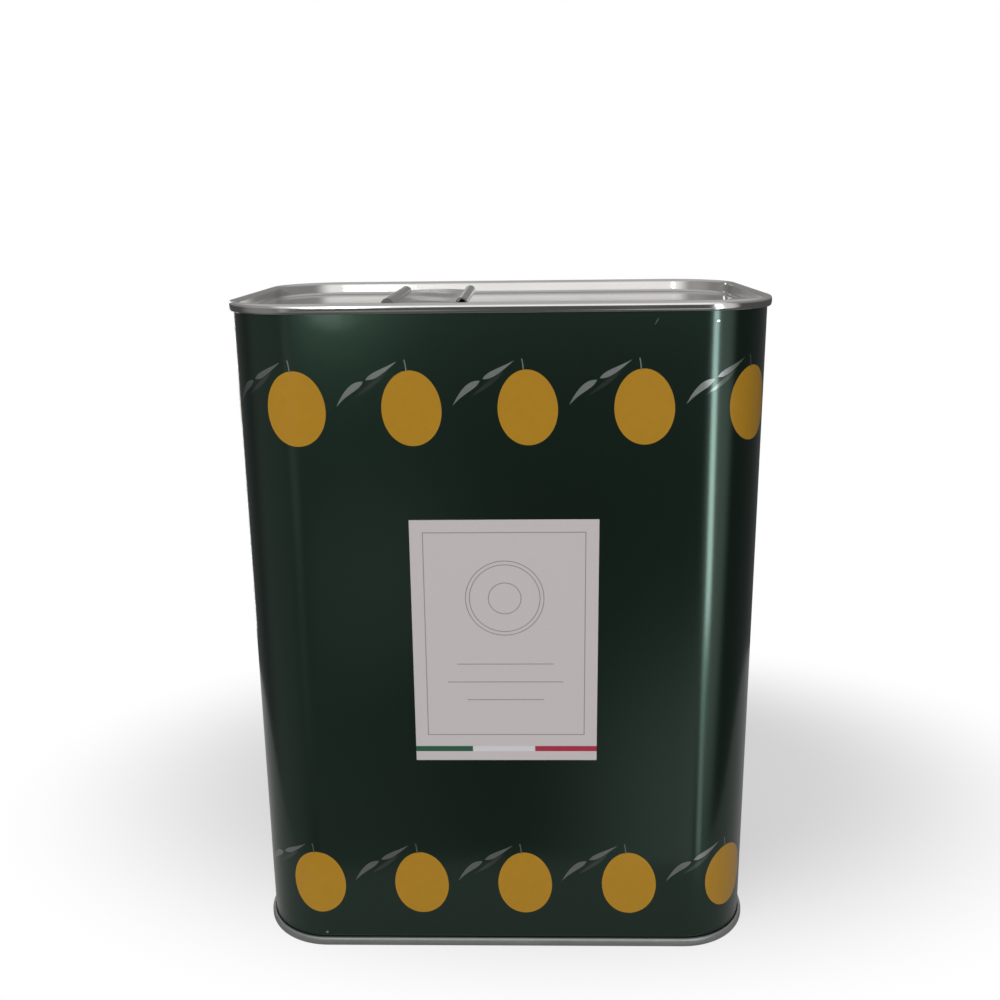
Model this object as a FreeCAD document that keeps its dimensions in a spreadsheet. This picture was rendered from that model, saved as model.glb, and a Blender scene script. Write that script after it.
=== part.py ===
import FreeCAD, Part
import math
import os
import re

import Sketcher

# Three-litre olive oil tin: a seamed tinplate body with a paper label, a strap handle that lies
# flat on the lid and lifts into a bow, and a pull-up pouring spout that is pushed down into the lid.
# Millimetres, +Z up, -Y is the front. The origin is the middle of the footprint, at the level of
# the lower seam's land, on which the tin stands.

# Each row is a name, a value and what the value measures.
SIZES = (
    ("outer_width", 164.0, "over the seams, left to right"),
    ("outer_depth", 101.7, "over the seams, front to back"),
    ("outer_height", 212.0, "from the land of the lower seam to that of the upper one"),
    ("outer_corner", 22.9, "corner radius in plan, over the seams"),
    ("body_thickness", 0.30, "sheet of the body"),
    ("end_thickness", 0.32, "sheet of the lid and the base"),
    ("layer_gap", 0.11, "between the folded layers of a seam"),
    ("seam_height", 3.0, "of a double seam"),
    ("seam_round", 0.6, "rounding of a seam's land"),
    ("seam_foot_round", 0.3, "rounding of a seam's free edge"),
    ("compound_depth", 0.25, "sealing compound over the body's hook"),
    ("countersink", 4.4, "from a seam's land to the panel inside it"),
    ("panel_round", 0.9, "between a chuck wall and its panel"),
    ("base_step_margin", 12.0, "from the base's chuck wall to the step in its panel"),
    ("base_step_rise", 1.0, "of the step in the base's panel"),
    ("weld_width", 1.6, "lap of the side weld, at the back"),
    ("weld_proud", 0.12, "how far the lap stands out"),
    ("weld_margin", 0.3, "from the lap's ends to the seams"),
    ("label_width", 57.2, "front label"),
    ("label_height", 79.5, "front label"),
    ("label_thickness", 0.12, "front label"),
    ("label_low", 68.1, "its lower edge above the ground"),
    ("label_shift", 1.2, "its middle, to the right of the tin's"),
    ("handle_offset", 22.8, "the handle's middle, to the left of the lid's"),
    ("handle_thickness", 0.45, "sheet of the handle"),
    ("handle_drop", 0.2, "from the seam's land down to the top of the handle"),
    ("handle_travel", 6.5, "of each tongue in its bridge"),
    ("handle_stop_gap", 0.3, "left between a tongue's head and its bridge at full travel"),
    ("grip_width", 26.5, "over the beads"),
    ("bead_radius", 1.9, "outside radius of the half-round edge beads"),
    ("flex_span", 5.5, "of the strip that bends between the grip and a tongue"),
    ("tongue_width", 11.0, "of the strip that runs through a bridge"),
    ("tongue_lift", 0.25, "from the lid to a tongue"),
    ("tongue_lead", 1.0, "of tongue inside its bridge at rest"),
    ("head_width", 16.0, "of the head that stops a tongue"),
    ("head_length", 2.0, "of that head"),
    ("head_margin", 0.65, "from that head to the curve of the chuck wall"),
    ("bridge_length", 4.0, "along the handle"),
    ("bridge_thickness", 0.5, "sheet of a bridge"),
    ("bridge_clearance", 0.25, "round a tongue, above it and at each side"),
    ("bridge_foot", 3.5, "welded foot at each side of a bridge"),
    ("spout_side_margin", 15.0, "from the spout's flange to the right chuck wall"),
    ("spout_front_margin", 3.85, "from the spout's flange to the front chuck wall"),
    ("neck_bore", 7.4, "radius"),
    ("neck_wall", 1.7, "of the sliding neck"),
    ("neck_foot_reach", 1.1, "of the ring that stops the neck at the top of its travel"),
    ("neck_foot_thickness", 1.5, "of that ring"),
    ("neck_stop_gap", 0.3, "left under the shelf at full travel"),
    ("shoulder_reach", 1.3, "of the ring that seats the neck on the shelf"),
    ("shoulder_thickness", 1.0, "of that ring"),
    ("rest_gap", 0.1, "under the shoulder at rest"),
    ("slide_clearance", 0.1, "round the sliding neck"),
    ("thread_rise", 0.5, "of the thread on the neck"),
    ("thread_pitch", 1.2, "of that thread"),
    ("cap_fit", 0.9, "between the neck and the cap's bore"),
    ("cap_wall", 2.3, "skirt of the cap"),
    ("cap_thickness", 1.4, "top of the cap"),
    ("cap_foot_gap", 0.3, "between the cap's rim and the neck's shoulder"),
    ("liner_thickness", 0.8, "sealing disc in the cap"),
    ("liner_margin", 0.1, "round that disc"),
    ("seal_gap", 0.05, "between the disc and the neck's rim"),
    ("ring_thickness", 1.1, "pull ring"),
    ("ring_gap", 0.1, "under the pull ring"),
    ("ring_outer", 10.3, "radius of the pull ring"),
    ("ring_inner", 8.0, "radius of its finger hole"),
    ("ring_tab_reach", 0.7, "of the hinge tab past the ring"),
    ("ring_tab_width", 6.0, "of the hinge tab"),
    ("well_clearance", 0.6, "between the cap and the collar's well"),
    ("well_depth", 8.0, "of the well that holds the cap"),
    ("shelf_thickness", 1.5, "floor of the well"),
    ("collar_wall", 1.4, "of the collar"),
    ("guide_length", 22.0, "of the tube that guides the neck"),
    ("flange_reach", 2.7, "of the collar's flange past its skirt"),
    ("flange_thickness", 1.1, "of that flange"),
    ("snap_reach", 0.8, "of the lip that snaps under the lid"),
    ("snap_depth", 1.5, "of that lip"),
    ("hole_clearance", 0.1, "round the collar's skirt in the lid"),
    ("gasket_thickness", 0.4, "under the flange"),
    ("gasket_margin", 0.5, "from the gasket to the flange's edge"),
    ("cut_overrun", 1.0, "past the face that a cut starts at"),
)
NAMES = {name for name, _, _ in SIZES}
MATCH_TOLERANCE = 1e-4
LEFT = 1
RIGHT = -1

# The layers of a double seam, as insets from its outer face.
HOOK_INSET = "(end_thickness + layer_gap)"
COVER_INSET = f"({HOOK_INSET} + body_thickness + layer_gap)"
WALL_INSET = f"({COVER_INSET} + end_thickness + layer_gap)"
CHUCK_INSET = f"({WALL_INSET} + body_thickness + layer_gap)"
CHUCK_INNER = f"({CHUCK_INSET} + end_thickness)"
STEP_INSET = f"({CHUCK_INNER} + base_step_margin)"

# The same layers, as drops from the seam's land.
COMPOUND_DROP = "(end_thickness + compound_depth)"
HOOK_END_DROP = "(seam_height - end_thickness - layer_gap)"
COVER_END_DROP = f"({COMPOUND_DROP} + body_thickness + layer_gap)"

# Heights above the lid's panel, and places along the handle from its middle towards the back.
PANEL = "(outer_height - countersink)"
BEAD_BASE = "(countersink - handle_drop - bead_radius)"
HEAD_END = f"(outer_depth / 2 - {CHUCK_INNER} - panel_round - head_margin)"
HEAD_START = f"({HEAD_END} - head_length)"
BRIDGE_FAR = f"({HEAD_START} - handle_stop_gap - handle_travel)"
BRIDGE_NEAR = f"({BRIDGE_FAR} - bridge_length)"
TONGUE_START = f"({BRIDGE_NEAR} - tongue_lead)"
GRIP_END = f"({TONGUE_START} - flex_span)"

# Radii of the spout, and heights above the lid's panel.
NECK_RADIUS = "(neck_bore + neck_wall)"
FOOT_RADIUS = f"({NECK_RADIUS} + neck_foot_reach)"
GUIDE_BORE = f"({FOOT_RADIUS} + slide_clearance)"
CAP_BORE = f"({NECK_RADIUS} + cap_fit)"
CAP_RADIUS = f"({CAP_BORE} + cap_wall)"
WELL_RADIUS = f"({CAP_RADIUS} + well_clearance)"
SKIRT_RADIUS = f"({WELL_RADIUS} + collar_wall)"
HOLE_RADIUS = f"({SKIRT_RADIUS} + hole_clearance)"
FLANGE_RADIUS = f"({SKIRT_RADIUS} + flange_reach)"
COLLAR_TOP = "(gasket_thickness + flange_thickness)"
SHELF_TOP = f"({COLLAR_TOP} - well_depth)"
SHELF_UNDER = f"({SHELF_TOP} - shelf_thickness)"
GUIDE_END = f"({SHELF_UNDER} - guide_length)"
CAP_TOP = f"({COLLAR_TOP} - ring_thickness - ring_gap)"
CAP_UNDER = f"({CAP_TOP} - cap_thickness)"
LINER_UNDER = f"({CAP_UNDER} - liner_thickness)"
NECK_RIM = f"({LINER_UNDER} - seal_gap)"
SHOULDER_LOW = f"({SHELF_TOP} + rest_gap)"
SHOULDER_HIGH = f"({SHOULDER_LOW} + shoulder_thickness)"
CAP_RIM = f"({SHOULDER_HIGH} + cap_foot_gap)"
SPOUT_PLACE = (
    f"(outer_width / 2 - {CHUCK_INNER} - spout_side_margin - {FLANGE_RADIUS})",
    f"-(outer_depth / 2 - {CHUCK_INNER} - spout_front_margin - {FLANGE_RADIUS})",
    PANEL,
)
HANDLE_PLACE = ("-handle_offset", "0", PANEL)

doc = FreeCAD.newDocument("OliveOilTin")
sheet = doc.addObject("Spreadsheet::Sheet", "Sizes")
for row, (name, size, note) in enumerate(SIZES, start=1):
    sheet.set(f"A{row}", name)
    sheet.set(f"B{row}", str(size))
    sheet.set(f"C{row}", note)
    sheet.setAlias(f"B{row}", name)
doc.recompute()
bodies = []


def cells(text):
    """Point each size's name in an expression at its cell in the sheet."""
    return re.sub(r"[a-z_]+", lambda word: f"Sizes.{word[0]}" if word[0] in NAMES else word[0], text)


def value(text):
    """The present value of an expression of named sizes."""
    return float(sheet.evalExpression(cells(text)))


def new_body(label, place=("0", "0", "0"), half_turn=False):
    """A body placed by three expressions, and turned half round about +Z where asked."""
    body = doc.addObject("PartDesign::Body", label)
    body.Label = label
    turn = FreeCAD.Rotation(FreeCAD.Vector(0, 0, 1), 180 if half_turn else 0)
    body.Placement = FreeCAD.Placement(FreeCAD.Vector(), turn)
    for axis, text in zip("xyz", place):
        body.setExpression(f"Placement.Base.{axis}", cells(text))
    bodies.append(body)
    return body


def sketch_on(body, role, offset="0"):
    """A sketch on one of the body's own origin planes, moved along that plane's normal."""
    plane = next(item for item in body.Origin.OriginFeatures if item.Role == role)
    sketch = body.newObject("Sketcher::SketchObject", f"{body.Label}_sketch")
    sketch.AttachmentSupport = [(plane, "")]
    sketch.MapMode = "FlatFace"
    sketch.setExpression("AttachmentOffset.Base.z", cells(offset))
    return sketch


def hold(sketch, constraint, text):
    """Add a constraint and bind its size to an expression."""
    number = sketch.addConstraint(constraint)
    sketch.setExpression(f"Constraints[{number}]", cells(text))


def arc_between(start, stop, radius, turn):
    """The shorter arc from start to stop that turns left or right."""
    chord = stop - start
    sideways = FreeCAD.Vector(-chord.y, chord.x, 0) * turn
    sideways.normalize()
    rise = math.sqrt(max(radius ** 2 - (chord.Length / 2) ** 2, 0))
    centre = start + chord * 0.5 + sideways * rise
    if turn == RIGHT:
        start, stop = stop, start
    angles = [math.atan2(point.y - centre.y, point.x - centre.x) for point in (start, stop)]
    return Part.ArcOfCircle(Part.Circle(centre, FreeCAD.Vector(0, 0, 1), radius), *angles)


def outline(sketch, corners):
    """Draw a closed outline through corners given as expressions.

    A corner (across, up) starts a straight side. A corner (across, up, radius, turn) starts an
    arc of that radius, which turns left or right on its way to the next corner.
    """
    first = sketch.GeometryCount
    count = len(corners)
    places = [FreeCAD.Vector(value(corner[0]), value(corner[1]), 0) for corner in corners]
    ends = []
    for index, corner in enumerate(corners):
        start = places[index]
        stop = places[(index + 1) % count]
        if len(corner) == 2:
            sketch.addGeometry(Part.LineSegment(start, stop), False)
            ends.append((1, 2))
        else:
            sketch.addGeometry(arc_between(start, stop, value(corner[2]), corner[3]), False)
            ends.append((1, 2) if corner[3] == LEFT else (2, 1))
    for index, corner in enumerate(corners):
        side = first + index
        after = (index + 1) % count
        joint = Sketcher.Constraint("Coincident", side, ends[index][1], first + after, ends[after][0])
        sketch.addConstraint(joint)
        begin = ends[index][0]
        hold(sketch, Sketcher.Constraint("DistanceX", -1, 1, side, begin, places[index].x), corner[0])
        hold(sketch, Sketcher.Constraint("DistanceY", -1, 1, side, begin, places[index].y), corner[1])
        if len(corner) > 2:
            hold(sketch, Sketcher.Constraint("Radius", side, value(corner[2])), corner[2])


def circle(sketch, radius):
    """Draw a circle about the sketch's origin."""
    number = sketch.addGeometry(Part.Circle(FreeCAD.Vector(), FreeCAD.Vector(0, 0, 1), value(radius)), False)
    sketch.addConstraint(Sketcher.Constraint("Coincident", number, 3, -1, 1))
    hold(sketch, Sketcher.Constraint("Radius", number, value(radius)), radius)


def rounded_rectangle(sketch, inset):
    """Draw the tin's plan, a rounded rectangle, at an inset from the seams' outer face."""
    right = f"(outer_width / 2 - {inset})"
    back = f"(outer_depth / 2 - {inset})"
    radius = f"(outer_corner - {inset})"
    flat_right = "(outer_width / 2 - outer_corner)"
    flat_back = "(outer_depth / 2 - outer_corner)"
    outline(sketch, (
        (f"-{flat_right}", f"-{back}"),
        (flat_right, f"-{back}", radius, LEFT),
        (right, f"-{flat_back}"),
        (right, flat_back, radius, LEFT),
        (flat_right, back),
        (f"-{flat_right}", back, radius, LEFT),
        (f"-{right}", flat_back),
        (f"-{right}", f"-{flat_back}", radius, LEFT),
    ))


def pad(body, sketch, length):
    """Pad a sketch along its plane's normal."""
    feature = body.newObject("PartDesign::Pad", f"{body.Label}_pad")
    feature.Profile = sketch
    feature.setExpression("Length", cells(length))
    return feature


def revolve(body, corners):
    """Turn an outline of (radius, height) corners about the body's own Z axis."""
    sketch = sketch_on(body, "XZ_Plane")
    outline(sketch, corners)
    feature = body.newObject("PartDesign::Revolution", f"{body.Label}_turned")
    feature.Profile = sketch
    feature.ReferenceAxis = (sketch, ["V_Axis"])
    return feature


def layer(body, upper, outer, inner, drop, far_drop):
    """Pad one layer of an end or a seam between two drops from its seam's land.

    With no inner inset the layer is a full plate, and otherwise it is a ring.
    """
    low = f"outer_height - {far_drop}" if upper else drop
    sketch = sketch_on(body, "XY_Plane", low)
    rounded_rectangle(sketch, outer)
    if inner:
        rounded_rectangle(sketch, inner)
    pad(body, sketch, f"{far_drop} - {drop}")


def inset_of(point):
    """How far a point lies inside the seams' outer face, in plan."""
    corner = value("outer_corner")
    across = abs(point.x) - value("outer_width / 2 - outer_corner")
    along = abs(point.y) - value("outer_depth / 2 - outer_corner")
    outside = math.hypot(max(across, 0), max(along, 0))
    return corner - outside - min(max(across, along), 0)


def round_loops(body, radius, loops):
    """Fillet the loops of edges that lie at given levels and insets."""
    doc.recompute()
    base = body.Tip
    wanted = [(value(level), value(inset)) for level, inset in loops]
    names = []
    for number, edge in enumerate(base.Shape.Edges, start=1):
        middle = edge.valueAt((edge.FirstParameter + edge.LastParameter) / 2)
        flat = edge.BoundBox.ZLength < MATCH_TOLERANCE
        for level, inset in wanted:
            near = max(abs(middle.z - level), abs(inset_of(middle) - inset)) < MATCH_TOLERANCE
            if flat and near:
                names.append(f"Edge{number}")
    feature = body.newObject("PartDesign::Fillet", f"{body.Label}_round")
    feature.Base = (base, names)
    feature.setExpression("Radius", cells(radius))


def level_at(upper, drop):
    """The height of a drop from the land of the upper or the lower seam."""
    return f"outer_height - {drop}" if upper else drop


def make_end(label, upper):
    """A pressed end: panel, chuck wall, seaming panel and cover hook, and the rounding of each bend."""
    body = new_body(label)
    panel_under = "(countersink + end_thickness)"
    layer(body, upper, CHUCK_INSET, CHUCK_INNER, "0", panel_under)
    layer(body, upper, "0", CHUCK_INNER, "0", "end_thickness")
    layer(body, upper, "0", "end_thickness", "0", "seam_height")
    layer(body, upper, "0", f"({COVER_INSET} + end_thickness)", "(seam_height - end_thickness)", "seam_height")
    layer(body, upper, COVER_INSET, f"({COVER_INSET} + end_thickness)", COVER_END_DROP, "seam_height")
    if upper:
        layer(body, upper, CHUCK_INSET, None, "countersink", panel_under)
    else:
        step_top = "(countersink + base_step_rise)"
        layer(body, upper, CHUCK_INSET, f"({STEP_INSET} + end_thickness)", "countersink", panel_under)
        layer(body, upper, STEP_INSET, f"({STEP_INSET} + end_thickness)", "countersink",
              f"({step_top} + end_thickness)")
        layer(body, upper, STEP_INSET, None, step_top, f"({step_top} + end_thickness)")
    land = level_at(upper, "0")
    round_loops(body, "seam_round", ((land, "0"), (land, CHUCK_INNER)))
    round_loops(body, "seam_foot_round", ((level_at(upper, "seam_height"), "0"),))
    round_loops(body, "panel_round", ((level_at(upper, "countersink"), CHUCK_INNER),))
    round_loops(body, "panel_round + end_thickness", ((level_at(upper, panel_under), CHUCK_INSET),))
    return body


def make_compound(label, upper):
    """The ring of sealing compound between an end's seaming panel and the body's hook."""
    layer(new_body(label), upper, "end_thickness", CHUCK_INSET, "end_thickness", COMPOUND_DROP)


def make_body_wall():
    """The tube of the body, with a hook turned outwards at each end and the lap of its side weld."""
    body = new_body("body_wall")
    wall_inner = f"({WALL_INSET} + body_thickness)"
    hook_under = f"({COMPOUND_DROP} + body_thickness)"
    layer(body, False, WALL_INSET, wall_inner, COMPOUND_DROP, f"(outer_height - {COMPOUND_DROP})")
    for upper in (False, True):
        layer(body, upper, HOOK_INSET, wall_inner, COMPOUND_DROP, hook_under)
        layer(body, upper, HOOK_INSET, f"({HOOK_INSET} + body_thickness)", COMPOUND_DROP, HOOK_END_DROP)
    sketch = sketch_on(body, "XY_Plane", "seam_height + weld_margin")
    face = f"(outer_depth / 2 - {WALL_INSET})"
    near = f"({face} - body_thickness / 2)"
    far = f"({face} + weld_proud)"
    outline(sketch, (
        ("-weld_width / 2", near),
        ("weld_width / 2", near),
        ("weld_width / 2", far),
        ("-weld_width / 2", far),
    ))
    pad(body, sketch, "outer_height - 2 * (seam_height + weld_margin)")


def make_label():
    """The paper label on the front face."""
    body = new_body("front_label", ("label_shift", "0", "label_low"))
    sketch = sketch_on(body, "XZ_Plane", f"outer_depth / 2 - {WALL_INSET}")
    outline(sketch, (
        ("-label_width / 2", "0"),
        ("label_width / 2", "0"),
        ("label_width / 2", "label_height"),
        ("-label_width / 2", "label_height"),
    ))
    pad(body, sketch, "label_thickness")


def make_grip():
    """The strap's stiff middle: a flat web between two half-round beads, pressed from one sheet."""
    body = new_body("handle_grip", HANDLE_PLACE)
    edge = "(grip_width / 2)"
    crown = f"({edge} - bead_radius)"
    joint = f"({crown} - sqrt(bead_radius ^ 2 - handle_thickness ^ 2))"
    inside = "(bead_radius - handle_thickness)"
    web_top = f"({BEAD_BASE} + handle_thickness)"
    bead_top = f"({BEAD_BASE} + bead_radius)"
    bead_under = f"({BEAD_BASE} + {inside})"
    sketch = sketch_on(body, "XZ_Plane", f"-{GRIP_END}")
    outline(sketch, (
        (f"-{edge}", BEAD_BASE, "bead_radius", RIGHT),
        (f"-{crown}", bead_top, "bead_radius", RIGHT),
        (f"-{joint}", web_top),
        (joint, web_top, "bead_radius", RIGHT),
        (crown, bead_top, "bead_radius", RIGHT),
        (edge, BEAD_BASE),
        (f"({crown} + {inside})", BEAD_BASE, inside, LEFT),
        (crown, bead_under, inside, LEFT),
        (f"({crown} - {inside})", BEAD_BASE),
        (f"-({crown} - {inside})", BEAD_BASE, inside, LEFT),
        (f"-{crown}", bead_under, inside, LEFT),
        (f"-({crown} + {inside})", BEAD_BASE),
    ))
    pad(body, sketch, f"2 * {GRIP_END}")


def make_handle_end(end, half_turn):
    """One end of the handle: the strip that bends, the tongue with its head, and the bridge over it."""
    flex = new_body(f"handle_flex_{end}", HANDLE_PLACE, half_turn)
    sketch = sketch_on(flex, "YZ_Plane", "-tongue_width / 2")
    outline(sketch, (
        (GRIP_END, BEAD_BASE),
        (TONGUE_START, "tongue_lift"),
        (TONGUE_START, "tongue_lift + handle_thickness"),
        (GRIP_END, f"{BEAD_BASE} + handle_thickness"),
    ))
    pad(flex, sketch, "tongue_width")

    tongue = new_body(f"handle_tongue_{end}", HANDLE_PLACE, half_turn)
    sketch = sketch_on(tongue, "XY_Plane", "tongue_lift")
    outline(sketch, (
        ("-tongue_width / 2", TONGUE_START),
        ("tongue_width / 2", TONGUE_START),
        ("tongue_width / 2", HEAD_START),
        ("head_width / 2", HEAD_START),
        ("head_width / 2", HEAD_END),
        ("-head_width / 2", HEAD_END),
        ("-head_width / 2", HEAD_START),
        ("-tongue_width / 2", HEAD_START),
    ))
    pad(tongue, sketch, "handle_thickness")

    bridge = new_body(f"handle_bridge_{end}", HANDLE_PLACE, half_turn)
    inner = "(tongue_width / 2 + bridge_clearance)"
    outer = f"({inner} + bridge_thickness)"
    toe = f"({outer} + bridge_foot)"
    under = "(tongue_lift + handle_thickness + bridge_clearance)"
    top = f"({under} + bridge_thickness)"
    sketch = sketch_on(bridge, "XZ_Plane", f"-{BRIDGE_FAR}")
    outline(sketch, (
        (f"-{toe}", "0"),
        (f"-{inner}", "0"),
        (f"-{inner}", under),
        (inner, under),
        (inner, "0"),
        (toe, "0"),
        (toe, "bridge_thickness"),
        (outer, "bridge_thickness"),
        (outer, top),
        (f"-{outer}", top),
        (f"-{outer}", "bridge_thickness"),
        (f"-{toe}", "bridge_thickness"),
    ))
    pad(bridge, sketch, "bridge_length")


def cut_spout_hole(lid):
    """Pierce the lid's panel for the spout's collar."""
    doc.recompute()
    before = lid.Shape.Volume
    sketch = sketch_on(lid, "XY_Plane", f"{PANEL} + cut_overrun")
    sketch.setExpression("AttachmentOffset.Base.x", cells(SPOUT_PLACE[0]))
    sketch.setExpression("AttachmentOffset.Base.y", cells(SPOUT_PLACE[1]))
    circle(sketch, HOLE_RADIUS)
    feature = lid.newObject("PartDesign::Pocket", "spout_hole")
    feature.Profile = sketch
    feature.setExpression("Length", cells("end_thickness + 2 * cut_overrun"))
    doc.recompute()
    if lid.Shape.Volume >= before:
        raise RuntimeError("the spout's hole cuts nothing")


def make_collar():
    """The spout's collar: flange, snap lip, well for the cap, shelf and guide tube, in one moulding."""
    revolve(new_body("spout_collar", SPOUT_PLACE), (
        (WELL_RADIUS, COLLAR_TOP),
        (WELL_RADIUS, SHELF_TOP),
        (f"({NECK_RADIUS} + slide_clearance)", SHELF_TOP),
        (f"({NECK_RADIUS} + slide_clearance)", SHELF_UNDER),
        (GUIDE_BORE, SHELF_UNDER),
        (GUIDE_BORE, GUIDE_END),
        (f"({GUIDE_BORE} + collar_wall)", GUIDE_END),
        (f"({GUIDE_BORE} + collar_wall)", SHELF_UNDER),
        (SKIRT_RADIUS, SHELF_UNDER),
        (SKIRT_RADIUS, "-(end_thickness + snap_depth)"),
        (f"({SKIRT_RADIUS} + snap_reach)", "-end_thickness"),
        (SKIRT_RADIUS, "-end_thickness"),
        (SKIRT_RADIUS, "gasket_thickness"),
        (FLANGE_RADIUS, "gasket_thickness"),
        (FLANGE_RADIUS, COLLAR_TOP),
    ))
    revolve(new_body("spout_gasket", SPOUT_PLACE), (
        (HOLE_RADIUS, "0"),
        (f"({FLANGE_RADIUS} - gasket_margin)", "0"),
        (f"({FLANGE_RADIUS} - gasket_margin)", "gasket_thickness"),
        (HOLE_RADIUS, "gasket_thickness"),
    ))


def make_neck():
    """The neck that slides up to pour: rim, thread, seating shoulder and the foot that stops it."""
    foot_top = f"({GUIDE_END} + neck_foot_thickness)"
    shoulder = f"({NECK_RADIUS} + shoulder_reach)"
    revolve(new_body("spout_neck", SPOUT_PLACE), (
        ("neck_bore", NECK_RIM),
        ("neck_bore", GUIDE_END),
        (FOOT_RADIUS, GUIDE_END),
        (FOOT_RADIUS, foot_top),
        (NECK_RADIUS, foot_top),
        (NECK_RADIUS, SHOULDER_LOW),
        (shoulder, SHOULDER_LOW),
        (shoulder, SHOULDER_HIGH),
        (NECK_RADIUS, SHOULDER_HIGH),
        (NECK_RADIUS, f"({NECK_RIM} - 2 * thread_pitch)"),
        (f"({NECK_RADIUS} + thread_rise)", f"({NECK_RIM} - 3 * thread_pitch / 2)"),
        (NECK_RADIUS, f"({NECK_RIM} - thread_pitch)"),
        (NECK_RADIUS, NECK_RIM),
    ))


def make_cap():
    """The cap, its sealing disc and the ring that pulls the spout up."""
    revolve(new_body("spout_cap", SPOUT_PLACE), (
        ("0", CAP_UNDER),
        (CAP_BORE, CAP_UNDER),
        (CAP_BORE, CAP_RIM),
        (CAP_RADIUS, CAP_RIM),
        (CAP_RADIUS, CAP_TOP),
        ("0", CAP_TOP),
    ))
    liner_radius = f"({CAP_BORE} - liner_margin)"
    revolve(new_body("cap_liner", SPOUT_PLACE), (
        ("0", LINER_UNDER),
        (liner_radius, LINER_UNDER),
        (liner_radius, CAP_UNDER),
        ("0", CAP_UNDER),
    ))
    ring = new_body("pull_ring", SPOUT_PLACE)
    ring_low = f"({CAP_TOP} + ring_gap)"
    sketch = sketch_on(ring, "XY_Plane", ring_low)
    circle(sketch, "ring_outer")
    circle(sketch, "ring_inner")
    pad(ring, sketch, "ring_thickness")
    sketch = sketch_on(ring, "XY_Plane", ring_low)
    root = "(ring_inner + ring_outer) / 2"
    outline(sketch, (
        ("-ring_tab_width / 2", "-(ring_outer + ring_tab_reach)"),
        ("ring_tab_width / 2", "-(ring_outer + ring_tab_reach)"),
        ("ring_tab_width / 2", f"-({root})"),
        ("-ring_tab_width / 2", f"-({root})"),
    ))
    pad(ring, sketch, "ring_thickness")


def check_document():
    """Stop if any object failed or any sub-part is not one valid solid."""
    doc.recompute()
    for item in doc.Objects:
        if "Invalid" in item.State or "Error" in item.State:
            raise RuntimeError(f"{item.Label} failed: {item.State}")
    for body in bodies:
        shape = body.Shape
        if shape.isNull() or not shape.isValid() or len(shape.Solids) != 1:
            raise RuntimeError(f"{body.Label} is not one valid solid")


def write_parts():
    """Write each sub-part to its own file."""
    os.makedirs("parts", exist_ok=True)
    for body in bodies:
        body.Shape.exportStep(f"parts/{body.Label}.step")
        print(body.Label, round(body.Shape.Volume, 2), body.Shape.BoundBox)


make_body_wall()
top_end = make_end("top_end", upper=True)
cut_spout_hole(top_end)
make_end("bottom_end", upper=False)
make_compound("top_seam_compound", upper=True)
make_compound("bottom_seam_compound", upper=False)
make_label()
make_grip()
make_handle_end("rear", half_turn=False)
make_handle_end("front", half_turn=True)
make_collar()
make_neck()
make_cap()
check_document()
write_parts()
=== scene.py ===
import logging
import math
from dataclasses import dataclass, field
from enum import Enum
from typing import Any, Optional, Sequence

import bmesh
import bpy
import numpy as np
from mathutils import Matrix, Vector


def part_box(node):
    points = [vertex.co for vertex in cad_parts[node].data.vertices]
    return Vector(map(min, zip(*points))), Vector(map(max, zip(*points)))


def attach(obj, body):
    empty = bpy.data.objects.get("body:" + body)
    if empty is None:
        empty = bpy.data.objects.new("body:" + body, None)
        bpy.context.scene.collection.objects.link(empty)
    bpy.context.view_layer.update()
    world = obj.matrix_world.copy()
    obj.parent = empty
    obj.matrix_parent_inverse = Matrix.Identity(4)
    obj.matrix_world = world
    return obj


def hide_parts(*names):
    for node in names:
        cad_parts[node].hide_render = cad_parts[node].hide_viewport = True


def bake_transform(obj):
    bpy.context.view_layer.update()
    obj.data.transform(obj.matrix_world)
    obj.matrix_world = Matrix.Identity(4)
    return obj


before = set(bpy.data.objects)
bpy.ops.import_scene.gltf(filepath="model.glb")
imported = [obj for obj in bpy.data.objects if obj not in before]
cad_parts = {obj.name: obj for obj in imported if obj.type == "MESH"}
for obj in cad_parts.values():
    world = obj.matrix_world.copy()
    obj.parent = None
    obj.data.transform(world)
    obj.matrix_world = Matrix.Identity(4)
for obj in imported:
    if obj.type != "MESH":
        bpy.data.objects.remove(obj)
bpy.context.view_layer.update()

MM = 0.001
MERGE_DISTANCE = 1e-7
TINY = 1e-12
LOG = logging.getLogger("oil_tin")
Socket = bpy.types.NodeSocket
Tree = bpy.types.NodeTree
Material = bpy.types.Material
Piece = bpy.types.Object


class End(Enum):
    """The two pressed ends of the tin."""

    LID = "top_end"
    BASE = "bottom_end"


class Row(Enum):
    """The two printed rows of olives."""

    UPPER = "upper"
    LOWER = "lower"


class StrapEnd(Enum):
    """The two ends of the handle, by the way along Y that each one points."""

    FRONT = -1
    REAR = 1


def to_linear(hex_colour: str) -> tuple[float, float, float, float]:
    """Turn an sRGB hex colour into linear light.

    Args:
        hex_colour: six hex digits after a hash sign.

    Returns:
        Linear red, green and blue, and an alpha of 1.
    """
    srgb = np.array([int(hex_colour[i:i + 2], 16) for i in (1, 3, 5)]) / 255.0
    linear = np.where(srgb <= 0.04045, srgb / 12.92, ((srgb + 0.055) / 1.055) ** 2.4)
    return (*linear.tolist(), 1.0)


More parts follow.
